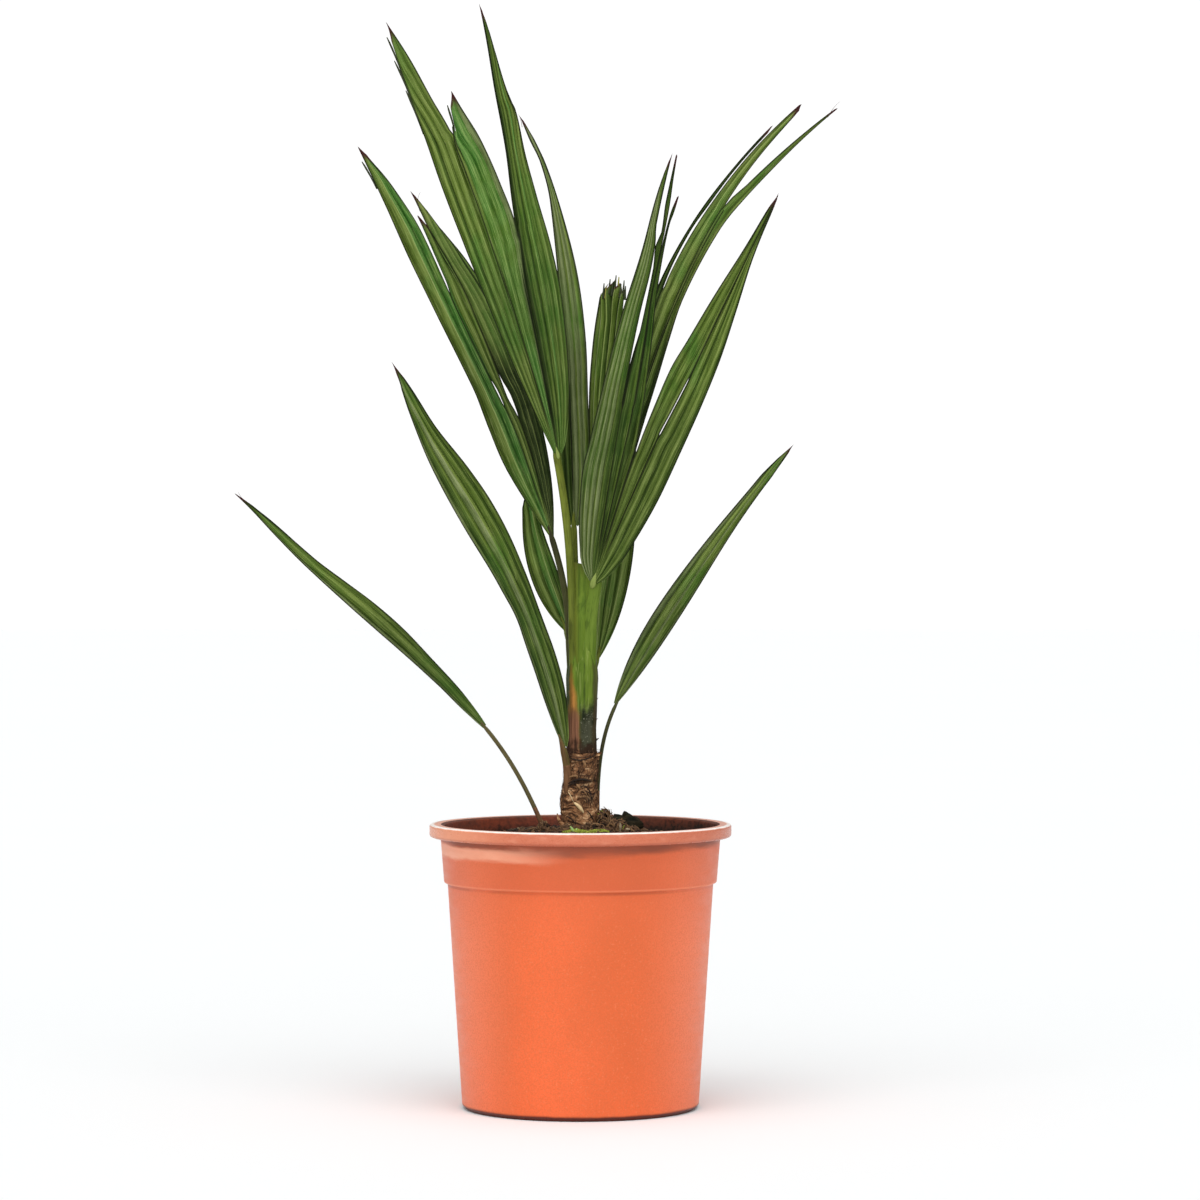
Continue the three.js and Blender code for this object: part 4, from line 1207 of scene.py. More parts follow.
def drill(pot):
    """Cuts the ring of drain holes through the floor of the pot."""
    cutters = []
    reach = DRAIN_RING_RADIUS * MM
    for number in range(DRAIN_HOLES):
        turn = number / DRAIN_HOLES * 2 * math.pi
        cutter = bmesh.new()
        bmesh.ops.create_cone(cutter, cap_ends=True, segments=32, radius1=DRAIN_RADIUS * MM,
                              radius2=DRAIN_RADIUS * MM, depth=12 * MM)
        bmesh.ops.translate(cutter, verts=cutter.verts,
                            vec=(reach * math.cos(turn), reach * math.sin(turn), 0.0))
        mesh = bpy.data.meshes.new("drain")
        cutter.to_mesh(mesh)
        cutter.free()
        mesh.materials.append(bpy.data.materials["Pot plastic"])
        hole = bpy.data.objects.new("drain", mesh)
        bpy.context.scene.collection.objects.link(hole)
        modifier = pot.modifiers.new("drain", "BOOLEAN")
        modifier.operation = "DIFFERENCE"
        modifier.solver = "EXACT"
        modifier.object = hole
        cutters.append(hole)
    bpy.context.view_layer.update()
    done = bpy.data.meshes.new_from_object(pot.evaluated_get(bpy.context.evaluated_depsgraph_get()))
    pot.modifiers.clear()
    pot.data = done
    for hole in cutters:
        bpy.data.objects.remove(hole)


class PALM_OT_pot(bpy.types.Operator):
    """Builds the tapered nursery pot with its collar, rim and drain holes"""
    bl_idname = "palm.pot"
    bl_label = "Build the pot"

    def execute(self, context):
        settings = context.scene.palm_pot
        make_pot_materials(settings)
        outside, inside = pot_profile(settings)
        corners = rounded([(0, 0)] + outside + inside + [(0, POT_FLOOR)], 0.55)
        sides = settings.sides
        rings = lathe(corners[1:-1], sides)
        heap = Heap(["Pot plastic", "Pot rim", "Pot inside"])
        quads = grid_faces(len(rings), sides, closed=True)
        radius = (corners[1:-2, 0] + corners[2:-1, 0]) / 2
        height = (corners[1:-2, 1] + corners[2:-1, 1]) / 2
        top = settings.height / MM
        high = int(np.argmax(corners[1:-1, 1]))
        bands = np.arange(len(rings) - 1)
        kinds = np.where((height > top - 7.9) & (bands <= high + 3) & (radius > 78.0), 1, 0)
        kinds = np.where((bands > high + 3) & (kinds == 0), 2, kinds)
        heap.add(rings.reshape(-1, 3), quads, np.repeat(kinds, sides))
        heap.close(len(rings), sides, (0, 0, corners[1, 1]), (0, 0, corners[-2, 1]), kinds=(0, 2))
        pot = heap.build("nursery_pot", crease=40)
        drill(pot)
        seat(pot, "pot_plastic", "pot")
        return {"FINISHED"}


# Soil, moss and chips

def soil_height(x, y):
    """Height of the soil: flat round the stem, falling towards the wall, with soft lumps."""
    radius = np.hypot(x, y)
    fall = np.clip((radius - SOIL_FLAT_RADIUS) / (76.0 - SOIL_FLAT_RADIUS), 0, 1)
    flat = SOIL_TOP - (SOIL_TOP - SOIL_EDGE) * fall
    rough = lumps(np.stack([x, y], 1), 16.0, 3, 4)
    return flat + 0.9 * rough - 0.5


def scatter(heap, kind, template, faces, places, sizes, turns, tilts):
    """Copies of a small template, turned, tilted and sized, joined into the heap."""
    cos, sin = np.cos(turns), np.sin(turns)
    tip_cos, tip_sin = np.cos(tilts), np.sin(tilts)
    points = template[None] * sizes[:, None, :]
    y = points[..., 1] * tip_cos[:, None] - points[..., 2] * tip_sin[:, None]
    z = points[..., 1] * tip_sin[:, None] + points[..., 2] * tip_cos[:, None]
    x = points[..., 0]
    moved = np.stack([x * cos[:, None] - y * sin[:, None], x * sin[:, None] + y * cos[:, None], z], -1)
    moved = moved + places[:, None]
    steps = (np.arange(len(places)) * len(template))[:, None, None]
    heap.add(moved.reshape(-1, 3), (faces[None] + steps).reshape(-1, faces.shape[1]), kind)


def crumb_shape(seed, detail=1):
    """A rough lump: a ball of triangles with its points pushed in and out."""
    ball = bmesh.new()
    bmesh.ops.create_icosphere(ball, subdivisions=detail, radius=1.0)
    points = np.array([v.co for v in ball.verts])
    faces = np.array([[v.index for v in f.verts] for f in ball.faces])
    ball.free()
    push = 1 + 0.3 * lumps(points, 1.6, seed, 2)
    return points * push[:, None], faces


def spots(rng, count, radius=75.0):
    """Random places spread evenly over a disc."""
    reach = radius * np.sqrt(rng.random(count))
    turn = rng.uniform(0, 2 * np.pi, count)
    return reach * np.cos(turn), reach * np.sin(turn)


def clear_of_trunk(x, y, gap=12.5):
    return np.hypot(x - TRUNK_FOOT_X, y) > gap


def make_soil_materials():
    tree, shader = new_material("Damp soil", 0.9, 0.2)
    where = place(tree)
    clod = noise(where, 180.0, 5.0, 0.65)
    grit = use_group(tree, "Fine grain", Vector=where, Scale=900.0, Low=0.55, High=0.7)
    colour = blend(ramp(clod, 0.3, 0.7), (34, 24, 18), (72, 52, 38))
    colour = blend(grit["Mask"] * 0.6, colour, (112, 86, 62))
    coat(shader, colour, ramp(clod, 0.3, 0.7, 0.75, 0.97), clod, 0.9, 0.0012)
    plain_bits("Crumb dark", (36, 27, 20), 0.92, 1300.0, 0.8)
    plain_bits("Crumb brown", (86, 62, 43), 0.92, 1300.0, 0.8)
    plain_bits("Crumb rust", (108, 66, 42), 0.9, 1300.0, 0.8)
    plain_bits("Pale bit", (142, 124, 98), 0.8, 1600.0, 0.6)
    plain_bits("Peat fibre", (122, 92, 62), 0.85)
    plain_bits("Moss light", (178, 190, 76), 0.9)
    plain_bits("Moss olive", (122, 134, 46), 0.92)
    plain_bits("Moss brown", (92, 80, 44), 0.95)
    plain_bits("Seedling leaf", (182, 214, 134), 0.5, 700.0, 0.3)
    tree, shader = new_material("Bark chip", 0.85, 0.06)
    where = place(tree)
    layers = noise(where, (180.0, 180.0, 620.0), 5.0, 0.6)
    colour = blend(ramp(layers, 0.35, 0.65), (15, 17, 12), (48, 42, 30))
    green = noise(where, 300.0, 3.0)
    colour = blend(ramp(green, 0.55, 0.7, 0.0, 0.5), colour, (42, 54, 34))
    coat(shader, colour, ramp(layers, 0.3, 0.7, 0.7, 0.95), layers, 0.9, 0.0009)


def build_ground():
    """The soil's lumpy top as a polar grid, closed down to the floor of the pot."""
    sides, rows = 240, 74
    reach = np.linspace(0, 1, rows) ** 0.8 * SOIL_WALL_RADIUS
    turn = round_turns(sides)
    x, y = reach[1:, None] * np.cos(turn), reach[1:, None] * np.sin(turn)
    z = soil_height(x.ravel(), y.ravel()).reshape(x.shape)
    top = np.stack([x, y, z], -1)
    wall = lathe([(SOIL_WALL_RADIUS, 140), (74.3, 130.6), (72.2, 129.4), (64.2, 5.4), (61.6, 2.7)], sides)
    rings = np.concatenate([top, wall])
    heap = Heap(["Damp soil"])
    heap.add(rings.reshape(-1, 3), grid_faces(len(rings), sides, closed=True, flip=True), "Damp soil")
    heap.close(len(rings), sides, (0, 0, SOIL_TOP - 0.5), (0, 0, 2.7), flip=True)
    seat(heap.build("soil_bed", crease=60), "soil", "soil")


def build_litter(settings, rng):
    heap = Heap(["Crumb dark", "Crumb brown", "Crumb rust", "Pale bit"])
    shares = {"Crumb dark": 0.5, "Crumb brown": 0.34, "Crumb rust": 0.1, "Pale bit": 0.06}
    for number, (kind, share) in enumerate(shares.items()):
        count = int(settings.crumbs * share)
        x, y = spots(rng, count)
        keep = clear_of_trunk(x, y)
        x, y = x[keep], y[keep]
        size = rng.uniform(0.5, 1.5, len(x)) * (1.25 if number < 2 else 0.8)
        z = soil_height(x, y) + 0.25 * size
        sizes = size[:, None] * rng.uniform(0.6, 1.3, (len(x), 3))
        template, faces = crumb_shape(40 + number)
        scatter(heap, kind, template, faces, np.stack([x, y, z], 1), sizes,
                rng.uniform(0, 6.28, len(x)), rng.uniform(-0.9, 0.9, len(x)))
    seat(heap.build("soil_crumbs", crease=50), "soil")
    strands = Heap(["Peat fibre", "Crumb dark", "Pale bit", "Moss olive", "Crumb brown"])
    x, y = spots(rng, settings.fibres, 72)
    for number in np.flatnonzero(clear_of_trunk(x, y, 14)):
        turn, length = rng.uniform(0, 6.28), rng.uniform(3, 11)
        steps = np.linspace(-0.5, 0.5, 6)
        bend = rng.uniform(-2.2, 2.2)
        px = x[number] + steps * length * math.cos(turn) - bend * (steps ** 2) * math.sin(turn) * 2
        py = y[number] + steps * length * math.sin(turn) + bend * (steps ** 2) * math.cos(turn) * 2
        inside = np.hypot(px, py) < 74
        if not inside.all():
            continue
        pz = soil_height(px, py) + 0.5 + rng.uniform(0, 1.2) * (1 - 4 * steps ** 2)
        pz = pz + rng.uniform(0, 0.8) * steps
        kind = ("Peat fibre", "Crumb dark", "Pale bit")[int(rng.choice(3, p=(0.62, 0.3, 0.08)))]
        pour_tube(strands, np.stack([px, py, pz], 1), rng.uniform(0.12, 0.32), 5, kind)
    pour_mound(strands, settings, rng)
    strands.fields.clear()
    seat(strands.build("soil_fibres"), "soil")


def pour_mound(heap, settings, rng):
    """Clumps of root, fibre and crumbs that pile up against the stem and the outer stalk's foot."""
    kinds = ("Peat fibre", "Crumb dark", "Moss olive", "Crumb brown")
    lump, faces = crumb_shape(91, 3)
    template, bits = crumb_shape(92)
    for middle, size in MOUNDS:
        middle, size = np.array(middle), np.array(size)
        heap.add(lump * size * 0.94 + middle, faces, "Crumb brown")
        for number in range(int(settings.mound * size[0] * size[2] / 60)):
            turn, lift = rng.uniform(0, 2 * np.pi), rng.uniform(0, 1)
            flat = math.sqrt(1 - lift ** 2)
            aim = np.array([flat * math.cos(turn), flat * math.sin(turn), lift])
            way = rng.normal(0, 1, 3)
            way -= aim * (way @ aim)
            way *= rng.uniform(0.15, 0.5) / np.linalg.norm(way)
            steps = np.linspace(-1, 1, 7)
            over = aim + steps[:, None] * way
            over /= np.linalg.norm(over, axis=1)[:, None]
            stand = 1 + rng.uniform(0, 0.1) + rng.uniform(0, 0.12) * (1 - steps ** 2)
            stand = stand + rng.normal(0, 0.1) * steps
            path = middle + size * over * stand[:, None]
            if np.hypot(path[:, 0] - TRUNK_FOOT_X, path[:, 1]).min() < 9.5:
                continue
            kind = kinds[int(rng.choice(4, p=(0.5, 0.22, 0.03, 0.25)))]
            pour_tube(heap, path, rng.uniform(0.14, 0.36), 5, kind)
            if number % 2 == 0:
                spot = middle + size * aim
                heap.add(template * rng.uniform(0.6, 1.5, 3) + spot, bits, "Crumb brown")


def build_moss(settings, rng):
    """A cushion of moss in front of the stem: tufts of short pointed leaves on a low mound."""
    heap = Heap(["Moss light", "Moss olive", "Moss brown", "Seedling leaf"])
    blade = np.array([(-0.18, 0, 0), (0.18, 0, 0), (0.12, 0.12, 0.55), (-0.12, 0.12, 0.55), (0, 0.42, 1.0)])
    quads = np.array([(0, 1, 2, 3)])
    point = np.array([(3, 2, 4)])
    for kind, share, tall in (("Moss light", 0.55, 1.9), ("Moss olive", 0.33, 1.6),
                              ("Moss brown", 0.12, 1.3)):
        count = int(settings.tufts * share)
        reach, turn = np.sqrt(rng.random(count)), rng.uniform(0, 2 * np.pi, count)
        x = MOSS_X + 13.0 * reach * np.cos(turn)
        y = MOSS_Y + 7.0 * reach * np.sin(turn)
        rough = 0.75 + 0.25 * lumps(np.stack([x, y], 1), 6.0, 9, 2)
        mound = 1.6 * np.sqrt(np.clip(1 - reach ** 2, 0, 1)) * rough
        z = soil_height(x, y) - 0.2 + mound
        for _ in range(6):
            turns = rng.uniform(0, 2 * np.pi, count)
            sizes = np.repeat(rng.uniform(0.6, 1.15, count)[:, None] * tall, 3, 1)
            places = np.stack([x + rng.normal(0, 0.35, count), y + rng.normal(0, 0.35, count), z], 1)
            tilts = rng.uniform(-0.2, 0.7, count)
            before = heap.count
            scatter(heap, kind, blade, quads, places, sizes, turns, tilts)
            steps = (np.arange(count) * len(blade))[:, None]
            heap.join(point + steps + before, kind)
    core, faces = crumb_shape(77, 3)
    core = core * (12.0, 6.6, 2.2) + (MOSS_X, MOSS_Y, SOIL_TOP)
    heap.add(core, faces, "Moss brown")
    pour_seedlings(heap)
    seat(heap.build("moss_cushion"), "moss", "moss")


def pour_seedlings(heap):
    """Small pale leaves of seedlings that stand in the moss."""
    for foot, turn, tall in (((-3.4, -24, 157.2), 2.2, 4.0), ((-2.8, -23, 157.2), 1.1, 2.4)):
        steps = np.linspace(0, 1, 7)
        width = 0.6 * tall * np.sin(np.pi * np.clip(steps * 0.94 + 0.06, 0, 1)) ** 0.8
        way = np.array([math.cos(turn), -0.2, 0.75])
        side = np.array([-math.sin(turn) * 0.4, 0.2, 0.9 * math.cos(turn)])
        middle = np.array(foot, float) + steps[:, None] * way * tall
        left = middle + width[:, None] * side * 0.5
        right = middle - width[:, None] * side * 0.5
        points = np.stack([left, middle + (0, -0.25, 0), right], 1).reshape(-1, 3)
        under = points + (0, 0.3, -0.12)
        quads = grid_faces(7, 3)
        heap.add(np.concatenate([points, under]), np.concatenate([quads, quads[:, ::-1] + 21]),
                 "Seedling leaf")


def build_chip():
    heap = Heap(["Bark chip", "Pale bit", "Crumb brown"])
    points, faces = crumb_shape(61, 4)
    jag = 1 + 0.24 * lumps(points, 0.9, 8, 4)
    points = points * jag[:, None] * (6.8, 5.2, 5.0)
    points[:, 2] -= 0.4 * points[:, 0]
    low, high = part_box("bark_chip")
    middle = (np.array(low) + np.array(high)) / 2 / MM
    heap.add(points + middle + (0, 0, -0.5), faces, "Bark chip")
    template, bits = crumb_shape(62, 2)
    for at, size in (((22.4, -16.6, 159.0), (0.7, 0.6, 2.6)), ((26.5, -16.8, 157.8), (1.3, 0.9, 0.8))):
        heap.add(template * size + at, bits, "Pale bit")
    for at, size in (((17, -10, 157), (2.6, 1.8, 2.2)), ((34, -3, 156.5), (3.0, 2.2, 1.9)),
                     ((21, -12, 156.4), (2.4, 1.6, 1.3)), ((13.5, -14, 156.8), (2.2, 1.6, 1.8))):
        heap.add(template * size + at, bits, "Crumb brown")
    seat(heap.build("bark_bits", crease=45), "bark", "bark_chip")


class PALM_OT_soil(bpy.types.Operator):
    """Builds the soil with its crumbs, fibres and pale bits, the moss and the chip of bark"""
    bl_idname = "palm.soil"
    bl_label = "Build the soil"

    def execute(self, context):
        settings = context.scene.palm_soil
        make_soil_materials()
        rng = np.random.default_rng(settings.seed)
        build_ground()
        build_litter(settings, rng)
        build_moss(settings, rng)
        build_chip()
        return {"FINISHED"}


# Trunk and leaf sheath

def trunk_axis(height):
    share = (height - SOIL_TOP) / (TRUNK_TOP - SOIL_TOP)
    return TRUNK_LEAN * np.clip(share, 0, 1) - 0.8 * np.exp(-((height - 173.0) / 10.0) ** 2)


def trunk_radius(settings, height):
    waist, foot = settings.waist_radius / MM, settings.foot_radius / MM
    swell = 0.5 * np.exp(-((height - 174.0) / 6.0) ** 2) - 0.45 * np.exp(-((height - 185.5) / 3.0) ** 2)
    return waist + (foot - waist) * np.exp(-(height - SOIL_TOP) / FLARE_HEIGHT) + swell


def on_trunk(settings, turn, height, lift):
    """A point on the trunk at a turn, in radians from the right, and a height, lifted off its bark."""
    radius = trunk_radius(settings, height) + lift
    return np.stack([trunk_axis(height) + radius * np.cos(turn), radius * np.sin(turn), height], -1)


def make_trunk_materials():
    for name, dark, main, pale in (
        ("Trunk fibre", (44, 28, 19), (126, 86, 57), (182, 138, 98)),
        ("Old leaf base", (54, 34, 22), (158, 112, 76), (228, 188, 142)),
    ):
        tree, shader = new_material(name, 0.85, 0.12)
        where = place(tree)
        x, y, z = axes(where)
        sway = noise(where, 75.0, 2.0) * 0.014
        hairs = noise(joined(x * 100.0, y * 100.0, (z + sway) * 580.0), 1.0, 4.0, 0.6)
        patch = noise(where, 190.0, 4.0)
        colour = blend(ramp(hairs, 0.36, 0.54), dark, main)
        colour = blend(ramp(hairs, 0.5, 0.64) * ramp(patch, 0.42, 0.58), colour, pale)
        colour = blend(ramp(patch, 0.48, 0.32, 0.0, 0.75), colour, dark)
        # Painted shadow: a dark curved band where shade falls under the ledge of an old leaf base.
        ring = z + sway + x * x * 22.0
        ring = ramp(ring, 0.1895, 0.1909) * ramp(ring, 0.1938, 0.192)
        colour = blend(ring * 0.8, colour, (34, 22, 15))
        coat(shader, colour, ramp(hairs, 0.2, 0.8, 0.9, 0.68), hairs, 0.9, 0.0007)
    plain_bits("Strand brown", (84, 57, 38), 0.8)
    plain_bits("Strand dark", (38, 26, 18), 0.85)
    plain_bits("Strand tan", (138, 104, 70), 0.75)
    plain_bits("Strand pale", (206, 180, 136), 0.7)
    make_sheath_material()
    make_web_material()


def make_web_material():
    """The thin green wall between the stalks, darker and browner towards its dry top edge."""
    tree, shader = new_material("Stalk web", 0.5, 0.08)
    where = place(tree)
    streak = noise(where, (620.0, 620.0, 9.0), 3.0, 0.55)
    colour = blend(ramp(streak, 0.3, 0.7), (74, 98, 26), (104, 126, 42))
    colour = blend(ramp(streak, 0.44, 0.3, 0.0, 0.5), colour, (50, 66, 20))
    olive = ramp(axes(where)[0], 0.0004, -0.0044, 0.0, 0.75)
    colour = blend(olive, colour, (92, 90, 30))
    height = axes(where)[2] + (streak - 0.5) * 0.02
    colour = blend(ramp(height, 0.299, 0.312, 0.0, 0.7), colour, (72, 70, 24))
    coat(shader, colour, ramp(streak, 0.2, 0.8, 0.42, 0.62), streak, 0.5, 0.0003)


def make_sheath_material():
    """Green sheath that browns on its left, with painted shade along its left edge and a black stained
    patch low on its front.
    """
    tree, shader = new_material("Leaf sheath", 0.45, 0.08)
    where = place(tree)
    x, _, z = axes(where)
    streak = noise(where, (800.0, 800.0, 14.0), 4.0, 0.58)
    broad = noise(where, (260.0, 260.0, 10.0), 3.0)
    blotch = noise(where, 120.0, 4.0, 0.6)
    colour = blend(ramp(broad, 0.3, 0.7), (74, 99, 26), (100, 122, 40))
    colour = blend(ramp(streak, 0.54, 0.7, 0.0, 0.6), colour, (136, 150, 78))
    colour = blend(ramp(streak, 0.47, 0.3, 0.0, 0.8), colour, (46, 64, 18))
    wander = (streak - 0.5) * 0.012
    uneven = z + (wander + (blotch - 0.5) * 0.02)
    near = x + (blotch - 0.5) * 0.004
    # Painted shade: the sheath darkens along its left edge.
    left = ramp(near, -0.0044, -0.0064)
    colour = blend(left * 0.85, colour, (34, 44, 16))
    widen = (z - 0.22) * 0.14
    inner = near + widen
    strip = ramp(near, -0.007, -0.0054) * ramp(inner, 0.0002, -0.0034)
    yellow = strip * ramp(uneven, 0.228, 0.266, 1.0, 0.5)
    colour = blend(yellow * 0.8, colour, (126, 116, 36))
    warm = strip * ramp(uneven, 0.252, 0.236)
    colour = blend(warm * 0.8, colour, (120, 77, 38))
    glow = ramp(uneven, 0.243, 0.236) * ramp(uneven, 0.221, 0.229)
    glow = glow * ramp(near, -0.0056, -0.0044) * strip
    colour = blend(glow * ramp(streak, 0.3, 0.6, 0.35, 0.95), colour, (190, 130, 64))
    brown = ramp(uneven, 0.23, 0.216) * ramp(near, 0.0008, -0.0018)
    colour = blend(brown, colour, blend(ramp(streak, 0.35, 0.65), (82, 53, 38), (140, 97, 72)))
    stain = ramp(uneven, 0.232, 0.221) * ramp(near, -0.0018, 0.001)
    colour = blend(stain * 0.94, colour, blend(ramp(blotch, 0.38, 0.62), (18, 20, 16), (64, 63, 52)))
    speck = use_group(tree, "Fine grain", Vector=where, Scale=1300.0, Low=0.63, High=0.7)
    colour = blend(speck["Mask"] * (stain * 0.8), colour, (158, 158, 136))
    edge = ramp(near, 0.0062, 0.0078) * ramp(uneven, 0.27, 0.22, 0.45, 1.0)
    colour = blend(edge * 0.85, colour, (62, 52, 30))
    foot = ramp(uneven, 0.209, 0.2025)
    colour = blend(foot * 0.9, colour, (50, 34, 24))
    coat(shader, colour, ramp(uneven, 0.24, 0.21, 0.42, 0.78), streak, 0.6, 0.0005)


def build_core(settings):
    sides, rows = 150, 130
    height = np.linspace(SOIL_TOP - 2, TRUNK_TOP + 3, rows)
    turn = round_turns(sides)
    turns, heights = np.meshgrid(turn, height)
    flat = np.stack([10 * np.cos(turns).ravel(), 10 * np.sin(turns).ravel(), 0.3 * heights.ravel()], 1)
    relief = 0.5 * lumps(flat, 2.2, 4, 3) + 0.55 * lumps(flat * (1, 1, 4), 9.0, 6, 2)
    ledge = (heights.ravel() + 2.5 * np.sin(turns.ravel() + 0.6 * heights.ravel() / 9)) / 9.0
    relief += 0.8 * (1 - (ledge % 1)) ** 2 - 0.3
    points = on_trunk(settings, turns.ravel(), heights.ravel(), relief - 0.2)
    heap = Heap(["Trunk fibre"])
    heap.add(points, grid_faces(rows, sides, closed=True), "Trunk fibre")
    heap.close(rows, sides, (0, 0, SOIL_TOP - 2), (TRUNK_LEAN, 0, TRUNK_TOP + 3))
    seat(heap.build("trunk_core", crease=60), "trunk_fibre", "trunk")


def pour_shell(heap, settings, rng, middle, half, low, high, lift, kind, slant=0.0, ragged=1.2):
    """A thin old leaf base that clasps the trunk, with a torn slanting top edge."""
    sides, rows = 46, 26
    side = np.linspace(-1, 1, sides)
    run = np.linspace(0, 1, rows)
    torn = ragged * (lumps(np.stack([side * 9, 0 * side], 1), 2.4, int(rng.integers(1, 999)), 3) - 0.4)
    peak = high - (high - low) * 0.45 * np.abs(side) ** 2.2 + slant * side + torn
    heights = low + (peak[None] - low) * run[:, None]
    turns = math.radians(middle) + math.radians(half) * side[None] * (1 - 0.12 * run[:, None])
    flat = np.stack([(turns * 10).ravel(), (heights * 0.25).ravel()], 1)
    relief = 0.22 * lumps(flat, 1.3, int(rng.integers(1, 999)), 2)
    out = lift * (0.25 + 0.75 * smoothstep(0, 0.45, run) - 0.62 * smoothstep(0.62, 1, run))[:, None]
    out = out * (1 - 0.75 * np.abs(side) ** 3)[None]
    out = out.ravel() + relief + 0.5 * (run[:, None] ** 4 * (1 + torn[None] * 0.3)).ravel()
    outer = on_trunk(settings, turns.ravel(), heights.ravel(), out + 0.45)
    inner = on_trunk(settings, turns.ravel(), heights.ravel(), out - 0.35)
    quads = grid_faces(rows, sides)
    heap.add(outer, quads, kind)
    heap.add(inner, quads[:, ::-1], kind)
    heap.join(rim_faces(heap.count - 2 * rows * sides, rows, sides), kind)


def build_scales(settings, rng):
    """Old leaf bases in overlapping rings and the torn spur on the right."""
    heap = Heap(["Old leaf base", "Trunk fibre"])
    for middle, half, low, high, lift, slant in (
        (-118, 70, 157, 179, 1.3, -1.6), (-52, 62, 157, 172, 1.3, 2.0), (25, 75, 157, 179, 1.2, 2.0),
        (110, 85, 157, 184, 1.4, -1.0), (-172, 60, 157, 182, 1.2, 1.0),
        (-118, 66, 168, 187.5, 1.0, 1.6), (-40, 70, 170, 186, 0.9, -2.6), (70, 90, 174, 195, 0.9, 1.0),
        (165, 80, 172, 193, 0.9, 1.4),
        (-100, 105, 184, 199.5, 0.6, 1.8), (40, 90, 184, 201, 0.6, -1.2), (150, 80, 184, 202, 0.6, 0.8),
    ):
        pour_shell(heap, settings, rng, middle, half, low, high, lift, "Old leaf base", slant)
    for foot, bend, tip, radius in (
        ((9.0, -2.2, 196.5), (10.6, -2.4, 200.8), (12.2, -2.6, 199.4), 1.4),
        ((-10.2, -7.2, 160.0), (-12.6, -8.2, 163.0), (-13.0, -7.6, 166.2), 1.3),
        ((9.6, -6.8, 160.0), (12.0, -8.2, 161.6), (13.6, -8.8, 160.2), 1.1),
    ):
        foot, bend, tip = (np.array(v, float) for v in (foot, bend, tip))
        path = bezier(foot, foot + (bend - foot) * 0.7, bend, tip, 9)
        pour_tube(heap, path, radius * np.linspace(1, 0.16, 9) ** 0.8, 10, "Old leaf base")
    heap.fields.clear()
    seat(heap.build("old_leaf_bases", crease=55), "trunk_fibre")


def front_path(settings, x, heights, lift):
    """Points on the trunk's front at given distances to the right of its middle line."""
    radius = trunk_radius(settings, heights) + lift
    turns = -np.arccos(np.clip((x - trunk_axis(heights)) / radius, -0.985, 0.985))
    return on_trunk(settings, turns, heights, lift)


